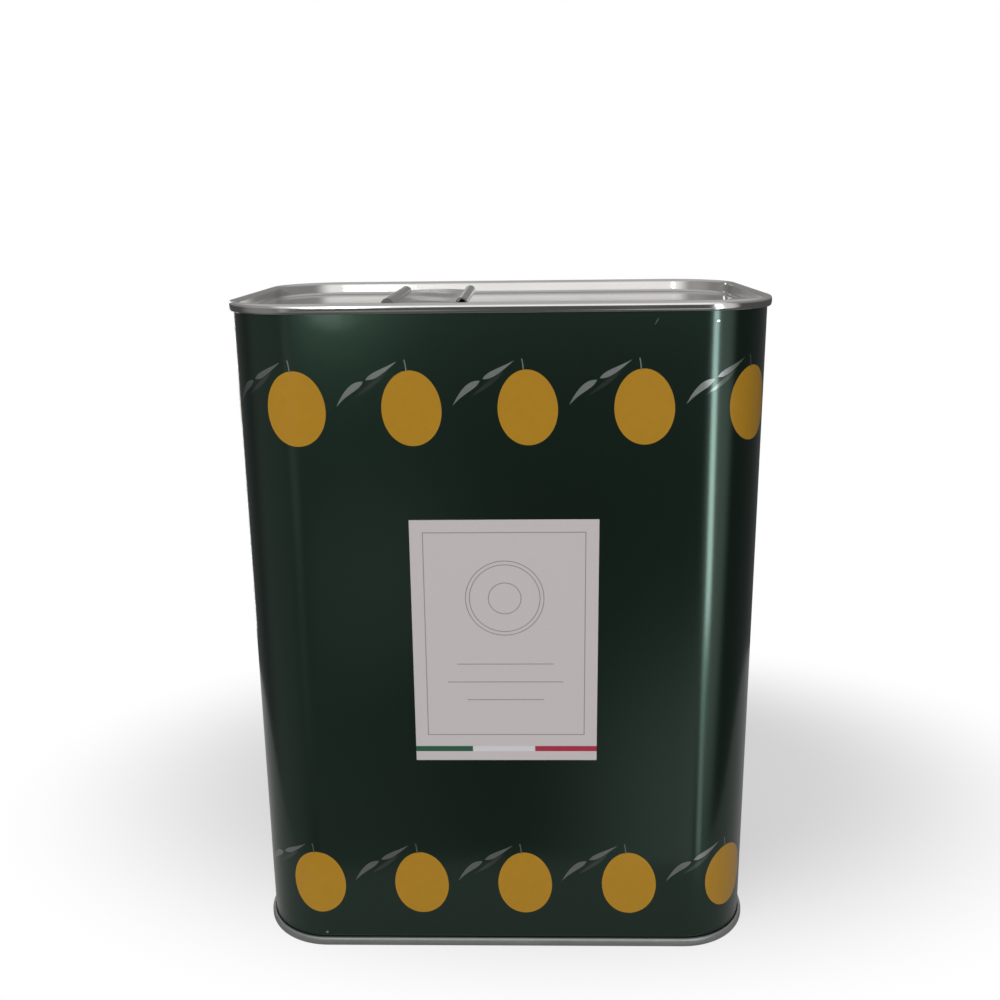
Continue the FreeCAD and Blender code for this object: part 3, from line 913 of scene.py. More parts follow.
@dataclass
class OlivePrint:
    """The printed rows of olives, each with a stem and a slender two-part leaf.

    Attributes:
        pitch: between neighbours, along the wall.
        steps: olives on either side of the middle one, as far as the weld.
        lean: how far an olive's top leans to the left, in radians.
        fuller: how much wider an olive is at its foot, as a share.
        least_share: share of a motif's width that has to be left where the weld cuts it off.
        ink: height of the print above the wall, and depth of its back below it.
        row_places: of the olive nearest the middle of the front, along the wall and up.
        stem_foot: right of and above the olive's middle, as are the five that follow.
        stem_tip: the stem's top.
        leaf_tip: the leaf's lower tip.
        leaf_joint: upper end of its lower blade.
        leaf_next: lower end of its upper blade.
        leaf_end: the leaf's upper tip.
        leaf_width: of the lower blade.
        leaf_next_width: of the upper blade.
        shade_width: of the dark half of the leaf.
        shade_shift: from the leaf's middle line to the foot of its dark half.
        shade_shares: of the way up the leaf, where the dark half starts and stops.
        shade_narrowing: share of the shift that is left at its top.
    """

    body: TinBody
    pitch: float = 34.0 * MM
    steps: int = 8
    width: float = 17.6 * MM
    length: float = 22.4 * MM
    lean: float = math.radians(4)
    fuller: float = 0.04
    least_share: float = 0.1
    ink: float = 0.02 * MM
    row_places: dict[Row, tuple[float, float]] = field(default_factory=lambda: {
        Row.UPPER: (8.5 * MM, 181.5 * MM),
        Row.LOWER: (6.9 * MM, 23.5 * MM),
    })
    stem_foot: tuple[float, float] = (-1.2 * MM, 10.7 * MM)
    stem_tip: tuple[float, float] = (-1.7 * MM, 14.3 * MM)
    leaf_tip: tuple[float, float] = (-21.9 * MM, 0.7 * MM)
    leaf_joint: tuple[float, float] = (-13.9 * MM, 8.0 * MM)
    leaf_next: tuple[float, float] = (-13.1 * MM, 8.5 * MM)
    leaf_end: tuple[float, float] = (-3.9 * MM, 13.8 * MM)
    stem_width: float = 0.32 * MM
    leaf_width: float = 2.0 * MM
    leaf_next_width: float = 1.65 * MM
    shade_width: float = 1.3 * MM
    shade_shift: tuple[float, float] = (0.8 * MM, -0.65 * MM)
    shade_shares: tuple[float, float] = (0.25, 0.8)
    shade_narrowing: float = 0.7

    def print_motif(self, name: str, ink: Material, shapes: Sequence[tuple], capped: bool = True) -> Piece:
        """Repeat flat shapes at each olive's place in both rows, cut off at the weld.

        Args:
            name: the print's name.
            ink: its ink.
            shapes: for each, places across and up from the olive's middle and the lift, on a grid.
            capped: the first and last rows of each grid are ends to fill.

        Returns:
            The print.
        """
        half = self.body.plan.length / 2
        numbers = np.arange(-self.steps, self.steps + 1)
        patches = []
        for across, up, lift in shapes:
            for first, level in self.row_places.values():
                for centre in first + numbers * self.pitch:
                    along = np.clip(centre + across, -half, half)
                    if np.ptp(along) > self.least_share * np.ptp(across):
                        points = self.body.wall(along, level + up, lift)
                        patches.append(Patch(points, wrap_columns=True, capped=capped))
        return fit(make_piece(name, patches, ink), "tin", "green_lacquer")

    def olives(self, ink: Material) -> Piece:
        """Print the olives: leaning ellipses, a little fuller at the foot.

        Args:
            ink: the yellow ink.

        Returns:
            The print.
        """
        rise = np.linspace(0, 1, 13)
        radius = there_and_back(rise)[:, None]
        turn = np.linspace(0, 2 * np.pi, 64, endpoint=False)[None, :]
        flat_x = self.width / 2 * radius * np.cos(turn) * (1 - self.fuller * np.sin(turn))
        flat_z = self.length / 2 * radius * np.sin(turn)
        across = flat_x * math.cos(self.lean) - flat_z * math.sin(self.lean)
        up = flat_x * math.sin(self.lean) + flat_z * math.cos(self.lean)
        lift = two_levels(rise, self.ink, -self.ink)[:, None] + 0 * across
        return self.print_motif("olive_print", ink, [(across, up, lift)], capped=False)

    def leaves(self, ink: Material) -> Piece:
        """Print the lit halves of the leaves: two blades in line, with a fine gap between them.

        Args:
            ink: the silver that shows the bare sheet.

        Returns:
            The print.
        """
        lower = blade(self.leaf_tip, self.leaf_joint, self.leaf_width, self.ink, bow=0.07)
        upper = blade(self.leaf_end, self.leaf_next, self.leaf_next_width, self.ink, bow=0.02)
        return self.print_motif("leaf_print", ink, [lower, upper])

    def shades(self, ink: Material) -> Piece:
        """Print the shaded halves of the leaves: one slim blade below and to the right.

        Args:
            ink: the darker silver.

        Returns:
            The print.
        """
        tip, end, shift = (np.array(place) for place in (self.leaf_tip, self.leaf_end, self.shade_shift))
        low, high = self.shade_shares
        start = tip * (1 - low) + end * low + shift
        stop = tip * (1 - high) + end * high + shift * self.shade_narrowing
        shade = blade(start, stop, self.shade_width, self.ink, bow=-0.02, taper=2.0)
        return self.print_motif("leaf_shade_print", ink, [shade])

    def stems(self, ink: Material) -> Piece:
        """Print the short stems, in the silver that shows the bare sheet."""
        stem = blade(self.stem_foot, self.stem_tip, self.stem_width, self.ink, bow=-0.03, taper=0.0)
        return self.print_motif("stem_print", ink, [stem])


@dataclass
class WearMarks:
    """Small scratches through the lacquer, down to the bright sheet.

    Attributes:
        marks: the two ends of each scratch, along the wall and up, and its width, in millimetres.
        depth: how far the bared sheet stands proud of the lacquer in this model.
    """

    body: TinBody
    marks: tuple[tuple[float, ...], ...] = (
        (44.8, 205.0, 46.0, 207.2, 0.4),
        (62.5, 206.0, 63.5, 206.1, 0.6),
        (-59.8, 4.2, -59.0, 4.8, 0.7),
    )
    depth: float = 0.02 * MM

    def build(self, tinplate: Material) -> Piece:
        """Make the scratches.

        Args:
            tinplate: the bared sheet.

        Returns:
            The scratches.
        """
        patches = []
        for mark in self.marks:
            start_x, start_z, stop_x, stop_z, width = (value * MM for value in mark)
            shape = blade((start_x, start_z), (stop_x, stop_z), width, self.depth, taper=3.0)
            patches.append(bar(self.body.wall(*shape)))
        return fit(make_piece("wear_marks", patches, tinplate), "tin", "green_lacquer")


@dataclass
class PaperLabel:
    """The label on the front: satin paper with a keyline, ruled lines and a three-colour stripe.

    Attributes:
        low: lowest corner of the label's box in the frame.
        high: highest corner of that box.
        ink: height of the lines above the paper, and depth of their back below it.
        margin: from the label's edges and the stripe to the keyline.
        rules: length of each ruled line, and its height above the keyline's foot.
        roundel: radii of its circles.
        roundel_drop: from the keyline's head to the roundel's middle.
        fibre: colour of the paper's fibre mottle.
        stripe: the stripe's three colours, from the left.
        stripe_ends: heights of the stripe's edges above the label's foot.
        stripe_shares: of the label's width, where one colour follows another.
        fibre_bump: strength and depth of the fibres, in millimetres.
        gloss: strength of the paper's reflection.
    """

    body: TinBody
    low: Sequence[float]
    high: Sequence[float]
    thickness: float = 0.12 * MM
    ink: float = 0.01 * MM
    line_width: float = 0.3 * MM
    margin: float = 4.0 * MM
    rules: tuple[tuple[float, float], ...] = (
        (30 * MM, 24 * MM), (36 * MM, 18 * MM), (24 * MM, 12 * MM))
    roundel: tuple[float, ...] = (12.0 * MM, 10.8 * MM, 5.0 * MM)
    roundel_drop: float = 21.0 * MM
    paper: str = "#cdc5c5"
    fibre: str = "#c6bebe"
    stripe: tuple[str, str, str] = ("#2c5b45", "#d4d2d3", "#a73146")
    stripe_ends: tuple[float, float] = (3.1 * MM, 4.9 * MM)
    stripe_shares: tuple[float, float] = (0.315, 0.66)
    fibre_mm: float = 0.8
    fibre_bump: tuple[float, float] = (0.05, 0.05)
    roughness: float = 0.55
    gloss: float = 0.25

    def finish(self) -> Material:
        """Satin coated paper: a faint fibre mottle, and the stripe in three flat inks.

        Returns:
            The material.
        """
        material, tree, place = start_material("label_paper")
        parts = add_node(tree, "ShaderNodeSeparateXYZ", {"Vector": place}).outputs
        fibre = noise(tree, place, self.fibre_mm, 4.0)
        stripe, width = self.stripe[0], self.high[0] - self.low[0]
        for share, colour in zip(self.stripe_shares, self.stripe[1:]):
            past = maths(tree, "GREATER_THAN", parts["X"], self.low[0] + share * width)
            stripe = mix(tree, past, stripe, colour)
        foot, head = self.stripe_ends
        in_stripe = maths(tree, "COMPARE", parts["Z"], self.low[2] + (foot + head) / 2, (head - foot) / 2)
        principled(tree, {
            "Base Color": mix(tree, in_stripe, mix(tree, fibre, self.paper, self.fibre), stripe),
            "Roughness": self.roughness,
            "Specular IOR Level": self.gloss,
            "Normal": bump(tree, fibre, *self.fibre_bump)})
        return material

    def sheet(self, box: Sequence[float], bottom: float, top: float) -> Patch:
        """Cut a thin rectangle that follows the wall.

        Args:
            box: left, right, low and high edges.
            bottom: height of its back above the wall.
            top: height of its face above the wall.

        Returns:
            A closed patch.
        """
        across = np.linspace(box[0], box[1], 41)
        up = np.linspace(box[2], box[3], 57)[:, None]
        return bar(self.body.wall(there_and_back(across)[None], up, two_levels(across, top, bottom)[None]))

    def ring(self, radius: float, centre: tuple[float, float]) -> Patch:
        """Draw a circle in ink on the label.

        Args:
            radius: of the line's middle.
            centre: across and up.

        Returns:
            A closed patch: a square section of the line carried round the circle.
        """
        turn = np.linspace(0, 2 * np.pi, 120, endpoint=False)[None, :]
        reach = radius + self.line_width / 2 * np.array([-1, 1, 1, -1])[:, None]
        lift = self.thickness + self.ink * np.array([1, 1, -1, -1])[:, None]
        points = self.body.wall(centre[0] + reach * np.cos(turn), centre[1] + reach * np.sin(turn), lift)
        return Patch(points, wrap_rows=True, wrap_columns=True)

    def build_lines(self, ink: Material) -> Piece:
        """Print the keyline, a plain roundel and a few writing rules.

        Args:
            ink: the grey ink.

        Returns:
            The print.
        """
        half, bottom, top = self.line_width / 2, self.thickness - self.ink, self.thickness + self.ink
        left, right = self.low[0] + self.margin, self.high[0] - self.margin
        foot, head = self.low[2] + self.stripe_ends[1] + self.margin, self.high[2] - self.margin
        middle = (left + right) / 2
        boxes = [(side - half, side + half, foot, head) for side in (left, right)]
        boxes += [(left - half, right + half, level - half, level + half) for level in (foot, head)]
        boxes += [
            (middle - length / 2, middle + length / 2, foot + level - half, foot + level + half)
            for length, level in self.rules]
        patches = [self.sheet(box, bottom, top) for box in boxes]
        patches += [self.ring(radius, (middle, head - self.roundel_drop)) for radius in self.roundel]
        return fit(make_piece("label_lines", patches, ink), "tin", "label_paper")

    def build(self) -> Piece:
        """Make the label: a thin sheet that follows the wall.

        Returns:
            The label.
        """
        box = (self.low[0], self.high[0], self.low[2], self.high[2])
        label = make_piece("paper_label", [self.sheet(box, 0.0, self.thickness)], self.finish())
        return fit(label, "tin", "label_paper", "front_label")


@dataclass
class StrapHandle:
    """The strap handle: beaded grip, two ends that bend down to the lid, and two welded bridges.

    Attributes:
        grip_low: lowest corner of the grip's box in the frame.
        grip_high: highest corner of that box.
        panel: height of the lid's panel.
        bead: outer radius of a bead.
        bead_end: angle at which a bead meets the web, in radians.
        hem: thickness of a bead's curled edge.
        pinch: from the grip's rear end to where a bead is pinched shut.
        front_pinch: the same at the front end.
        crown: rise of the web's middle.
        wave: how far the web is out of flat.
        wave_length: of that wave, along the strap.
        wave_skew: length of that wave across the strap, as a share of the one along it.
        shoulder_half: half of the strap's width where it leaves the grip.
        head_step: length over which the strap widens to the head.
        head_bevel: along and across, of the head's corners.
        tongue_lift: from the lid to a tongue.
        tongue_start: from the tin's middle to a tongue, along Y as are the three that follow.
        head_start: to its head.
        head_end: to the head's end.
        bend_end: to where the strap no longer bends; not used.
        bridge_gap: between a bridge and its tongue, at each side.
        bridge_bends: rounding of a bridge's outer bends, inner bends, toes and inner feet.
    """

    grip_low: Sequence[float]
    grip_high: Sequence[float]
    panel: float
    sheet: float = 0.45 * MM
    bead: float = 1.9 * MM
    bead_end: float = 0.24
    hem: float = 0.14 * MM
    pinch: float = 3.0 * MM
    front_pinch: float = 0.5 * MM
    crown: float = 0.35 * MM
    wave: float = 0.2 * MM
    wave_length: float = 34.0 * MM
    wave_skew: float = 1.2
    tongue_half: float = 5.5 * MM
    shoulder_half: float = 9.0 * MM
    head_half: float = 8.0 * MM
    head_step: float = 0.01 * MM
    head_bevel: tuple[float, float] = (0.4 * MM, 0.5 * MM)
    tongue_lift: float = 0.25 * MM
    tongue_start: float = 33.5 * MM
    head_start: float = 45.3 * MM
    head_end: float = 47.3 * MM
    bend_end: float = 41.0 * MM
    bridge_sheet: float = 0.5 * MM
    bridge_gap: float = 0.25 * MM
    bridge_bends: tuple[float, ...] = (0.3 * MM, 0.1 * MM, 0.15 * MM, 0.05 * MM)

    @property
    def middle(self) -> float:
        """X of the handle's middle line."""
        return (self.grip_low[0] + self.grip_high[0]) / 2

    def grip_section(self) -> tuple[np.ndarray, float]:
        """Draw the grip's section: a crowned web between two beads, whose edges curl under.

        Each bead is a pair of arcs about one centre. The web's rise is a parabola.

        Returns:
            Places across and up round the section, and half of the web's width.
        """
        centre = self.bead - (self.grip_high[0] - self.grip_low[0]) / 2
        inside = self.bead - self.sheet
        arc = np.linspace(np.pi, self.bead_end, 15)
        outer = np.stack([centre + self.bead * np.cos(arc), self.bead * np.sin(arc)], axis=-1)
        arc = np.linspace(0, np.pi - math.asin(self.hem / inside), 15)
        inner = np.stack([centre + inside * np.cos(arc), inside * np.sin(arc)], axis=-1)
        tip = centre + inside - self.hem
        outer = np.concatenate([[[tip, 0.0]], outer])
        inner = np.concatenate([inner, [[tip, self.hem]]])
        flip = np.array([-1.0, 1.0])
        reach = np.linspace(outer[-1, 0], -outer[-1, 0], 15)[1:-1]
        rise = self.crown * (1 - (reach / reach[0]) ** 2)
        web = np.stack([reach, self.sheet + rise], axis=-1)
        below = np.stack([-reach, rise], axis=-1)
        parts = [outer, web, (outer * flip)[::-1], (inner * flip)[::-1], below, inner]
        return np.concatenate(parts), reach[0]

    def build_grip(self, tinplate: Material) -> Piece:
        """Make the grip, with its beads pinched shut near their ends.

        The web is a little out of flat, by a slow sine wave that runs askew along it.

        Args:
            tinplate: its finish.

        Returns:
            The grip.
        """
        line, web = self.grip_section()
        across, base, inside = line[None, :, 0], self.grip_low[2], self.bead - self.sheet
        along = np.linspace(self.grip_low[1], self.grip_high[1], 41)[:, None]
        inward = np.clip(1 - (across / web) ** 2, 0, 1)
        turns = along / self.wave_length + across / (self.wave_skew * self.wave_length)
        z = base + line[None, :, 1] + self.wave * inward * np.sin(2 * np.pi * turns)
        patches = [bar(np.stack(np.broadcast_arrays(self.middle + across, along, z), axis=-1))]
        # Each bead is pinched a little way in from its rear end, and the left one in front too.
        arc = np.linspace(0, np.pi, 15)[None, :]
        edge = (self.grip_high[0] - self.grip_low[0]) / 2 - self.bead
        rear, front = self.grip_high[1] - self.pinch, self.grip_low[1] + self.front_pinch
        for side, shut in ((-1, rear), (1, rear), (-1, front)):
            patches.append(bar(np.stack(np.broadcast_arrays(
                self.middle + side * edge + inside * np.cos(arc),
                shut + np.array([[-self.sheet], [0.0]]),
                base + self.hem + (inside - self.hem) * np.sin(arc)), axis=-1)))
        return fit(make_piece("strap_grip", patches, tinplate), "handle", "handle_tinplate", "handle_grip")

    def build_end(self, end: StrapEnd, tinplate: Material) -> Piece:
        """Make one end of the strap: it narrows, bends down to the lid and ends in a wider head.

        The width and the height follow three s squared less two s cubed, of the share s of the way
        from the grip to the tongue.

        Args:
            end: which end.
            tinplate: its finish.

        Returns:
            The end, bent down between the grip and its tongue.
        """
        start = self.grip_high[1]
        along = np.concatenate([
            np.linspace(start, self.tongue_start, 21),
            np.linspace(self.tongue_start, self.head_start, 29)[1:],
            [self.head_start + self.head_step, self.head_end - self.head_bevel[0], self.head_end]])
        share = np.clip((along - start) / (self.tongue_start - start), 0, 1)
        ease = share ** 2 * (3 - 2 * share)
        half = self.shoulder_half + (self.tongue_half - self.shoulder_half) * ease
        half = np.where(along > self.head_start, self.head_half, half)
        half[-1] -= self.head_bevel[1]
        level = self.grip_low[2] + (self.panel + self.tongue_lift - self.grip_low[2]) * ease
        across = np.linspace(-1, 1, 13)
        section = there_and_back(across)[None, :]
        bulge = self.crown * (1 - section ** 2) * (1 - ease[:, None])
        points = np.stack(np.broadcast_arrays(
            self.middle + half[:, None] * section,
            end.value * along[:, None],
            level[:, None] + two_levels(across, self.sheet, 0.0)[None, :] + bulge), axis=-1)
        name = end.name.lower()
        strip = make_piece(f"strap_end_{name}", [bar(points)], tinplate)
        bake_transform(strip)
        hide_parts(f"handle_flex_{name}", f"handle_tongue_{name}")
        return strip

    def build_bridge(self, end: StrapEnd, tinplate: Material) -> Piece:
        """Make the bridge over a tongue: a hat section with rounded bends and two flat feet.

        Args:
            end: which end of the handle it holds.
            tinplate: its finish.

        Returns:
            The bridge.
        """
        name = f"bridge_{end.name.lower()}"
        low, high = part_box(f"handle_{name}")
        toe, height, sheet = (high.x - low.x) / 2, high.z - low.z, self.bridge_sheet
        inner = self.tongue_half + self.bridge_gap
        outer, ceiling = inner + sheet, height - sheet
        bend, inner_bend, toe_bend, foot_bend = self.bridge_bends
        line = soften([
            (-toe, 0, 0), (-inner, 0, foot_bend), (-inner, ceiling, inner_bend),
            (inner, ceiling, inner_bend), (inner, 0, foot_bend), (toe, 0, 0), (toe, sheet, toe_bend),
            (outer, sheet, bend), (outer, height, bend), (-outer, height, bend), (-outer, sheet, bend),
            (-toe, sheet, toe_bend)], closed=True)[None]
        points = np.stack(np.broadcast_arrays(
            (low.x + high.x) / 2 + line[..., 0],
            np.linspace(low.y, high.y, 9)[:, None],
            low.z + line[..., 1]), axis=-1)
        bridge = make_piece(f"strap_{name}", [bar(points)], tinplate)
        return fit(bridge, "tin", "handle_tinplate", f"handle_{name}")


@dataclass
class PullSpout:
    """The pull-up spout: collar, sliding neck, ribbed cap and pull ring, all moulded.

    Each section lists radius, height above the lid's panel and rounding, in millimetres.

    Attributes:
        axis: the spout's axis, at the level of the lid's panel.
        collar: section of the flange, snap lip, well, shelf and guide tube.
        neck: section of the pouring lip, thread, shoulder and foot.
        ribs: number of grip ribs round the cap.
        rib_depth: depth of the grooves between them.
        rib_start: radius at which the grooves start.
        rib_fade: from there to where they have their full depth.
        ring_radii: inner and outer radius of the pull ring.
        ring_edge: rounding of its edges.
        tab_half: half of the width of its hinge tab.
    """

    axis: tuple[float, float, float]
    collar: tuple[tuple[float, ...], ...] = (
        (12.9, 1.5, 0.4), (12.9, -6.5, 0.5), (9.2, -6.5, 0.2), (9.2, -8.0, 0.0), (10.3, -8.0, 0.1),
        (10.3, -30.0, 0.3), (11.7, -30.0, 0.3), (11.7, -8.0, 0.4), (14.3, -8.0, 0.5), (14.3, -1.82, 0.3),
        (15.1, -0.34, 0.2), (14.3, -0.34, 0.0), (14.3, 0.4, 0.0), (17.0, 0.4, 0.2), (17.0, 1.5, 0.7))
    neck: tuple[tuple[float, ...], ...] = (
        (7.4, -1.95, 0.5), (7.4, -30.0, 0.3), (10.2, -30.0, 0.3), (10.2, -28.5, 0.3), (9.1, -28.5, 0.3),
        (9.1, -6.4, 0.1), (10.4, -6.4, 0.3), (10.4, -5.4, 0.3), (9.1, -5.4, 0.2), (9.1, -4.35, 0.2),
        (9.6, -3.75, 0.3), (9.1, -3.15, 0.2), (9.1, -1.95, 0.5))
    cap: tuple[tuple[float, ...], ...] = (
        (0.0, -1.1, 0.0), (10.0, -1.1, 0.3), (10.0, -5.1, 0.2), (12.3, -5.1, 0.3), (12.3, 0.3, 0.7),
        (0.0, 0.3, 0.0))
    ribs: int = 60
    rib_depth: float = 0.3 * MM
    rib_start: float = 11.8 * MM
    rib_fade: float = 0.4 * MM
    ring_radii: tuple[float, float] = (8.0 * MM, 10.3 * MM)
    ring_edge: float = 0.3 * MM
    tab_half: float = 3.0 * MM

    def build_tubes(self, plastic: Material) -> None:
        """Make the collar and the sliding neck, each turned about the spout's axis.

        Args:
            plastic: their finish.
        """
        tubes = (("spout_collar", "tin", self.collar), ("spout_neck", "spout", self.neck))
        for node, body, section in tubes:
            line = soften(np.array(section) * MM, closed=True)
            piece = make_piece(f"{node}_moulding", [revolve(line, self.axis, closed=True)], plastic)
            fit(piece, body, "spout_polyethylene", node)

    def build_cap(self, plastic: Material) -> Piece:
        """Make the cap, with grip ribs round its skirt.

        The grooves follow a raised cosine round the turn.

        Args:
            plastic: its finish.

        Returns:
            The cap.
        """
        patch = revolve(soften(np.array(self.cap) * MM), self.axis, columns=self.ribs * 6)
        way = patch.points[..., :2] - np.array(self.axis[:2])
        radius = np.linalg.norm(way, axis=-1, keepdims=True)
        turn = np.arctan2(way[..., 1:], way[..., :1])
        skirt = np.clip((radius - self.rib_start) / self.rib_fade, 0, 1)
        groove = self.rib_depth * skirt * (0.5 - 0.5 * np.cos(self.ribs * turn))
        patch.points[..., :2] -= way / np.maximum(radius, TINY) * groove
        cap = make_piece("spout_cap_moulding", [patch], plastic)
        return fit(cap, "cap", "cap_polypropylene", "spout_cap")

    def build_ring(self, plastic: Material) -> Piece:
        """Make the pull ring: a flat round loop whose outer edge runs out to a hinge tab.

        The section is drawn from one metre inside to one metre outside, so that each of its points
        belongs to the inner or the outer edge and keeps its rounding. Each point then moves to that
        edge's radius, which at the tab is the tab's reach over the sine of the turn.

        Args:
            plastic: its finish.

        Returns:
            The ring.
        """
        low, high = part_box("pull_ring")
        turn = np.linspace(0, 2 * np.pi, 240, endpoint=False)[None, :]
        inner, outer = self.ring_radii
        tab_reach = self.axis[1] - low.y
        towards = np.maximum(-np.sin(turn), TINY)
        on_tab = (np.abs(np.cos(turn)) * tab_reach / towards < self.tab_half) & (np.sin(turn) < 0)
        reach = np.where(on_tab, tab_reach / towards, outer)
        height, edge = high.z - low.z, self.ring_edge
        corners = soften([
            (-1.0, 0, edge), (1.0, 0, edge), (1.0, height, edge), (-1.0, height, edge)], closed=True)
        share = np.where(corners[:, :1] < 0, 0.0, 1.0)
        tuck = (1.0 - np.abs(corners[:, :1])) * np.where(share > 0, -1.0, 1.0)
        radius = inner + (reach - inner) * share + tuck
        points = np.stack(np.broadcast_arrays(
            self.axis[0] + radius * np.cos(turn),
            self.axis[1] + radius * np.sin(turn),
            low.z + corners[:, 1:]), axis=-1)
        ring = make_piece("pull_ring_moulding", [Patch(points, wrap_rows=True, wrap_columns=True)], plastic)
        return fit(ring, "ring", "cap_polypropylene", "pull_ring")


def stand(name: str, data: Any, axes: Sequence[np.ndarray], place: Sequence[float]) -> Piece:
    """Stand a lamp or a camera in the scene.

    Args:
        name: its name.
        data: the lamp's or camera's own data.
        axes: its right, its up and its back.
        place: its middle.

    Returns:
        The new object.
    """
    item = bpy.data.objects.new(name, data)
    columns = np.stack([*axes, np.array(place)], axis=1)
    item.matrix_world = Matrix([*columns.tolist(), [0, 0, 0, 1]])
    bpy.context.scene.collection.objects.link(item)
    return item


@dataclass(frozen=True)
class Softbox:
    """A rectangular lamp that faces a point of the tin.

    Attributes:
        place: its middle.
        size: width and height.
        radiance: brightness of its face, where 1 is white.
        lean: how far its foot swings to the right, in degrees.
        mirrored: whether bright metal mirrors it.
    """

    name: str
    place: tuple[float, float, float]
    size: tuple[float, float]
    radiance: float
    lean: float = 0.0
    colour: str = "#ffffff"
    mirrored: bool = True
    target: tuple[float, float, float] = (0.0, 0.0, 0.1)

    def build(self) -> Piece:
        """Make the lamp, unseen by the camera.

        Returns:
            The lamp.
        """
        data = bpy.data.lights.new(self.name, "AREA")
        data.shape = "RECTANGLE"
        data.size, data.size_y = self.size
        data.energy = self.radiance * math.pi * self.size[0] * self.size[1]
        data.color = to_linear(self.colour)[:3]
        back = np.array(self.place) - np.array(self.target)
        back = back / np.linalg.norm(back)
        level = np.cross([0.0, 0.0, 1.0], back)
        level = level / np.linalg.norm(level)
        turn = math.radians(self.lean)
        right = math.cos(turn) * level + math.sin(turn) * np.cross(back, level)
        lamp = stand(self.name, data, (right, np.cross(back, right), back), self.place)
        lamp.visible_camera = False
        lamp.visible_glossy = self.mirrored
        return lamp


@dataclass(frozen=True)
class Glow:
    """A soft bright place in the surround.

    Attributes:
        azimuth: from straight ahead of the tin's front towards its right, in degrees.
        elevation: above the horizon, in degrees.
        reach: from its middle to where it has faded out, in degrees.
        radiance: brightness at its middle, where 1 is white.
    """

    azimuth: float
    elevation: float
    reach: float
    radiance: float

    @property
    def way(self) -> tuple[float, float, float]:
        """Direction of its middle."""
        turn, rise = math.radians(self.azimuth), math.radians(self.elevation)
        return math.sin(turn) * math.cos(rise), -math.cos(turn) * math.cos(rise), math.sin(rise)


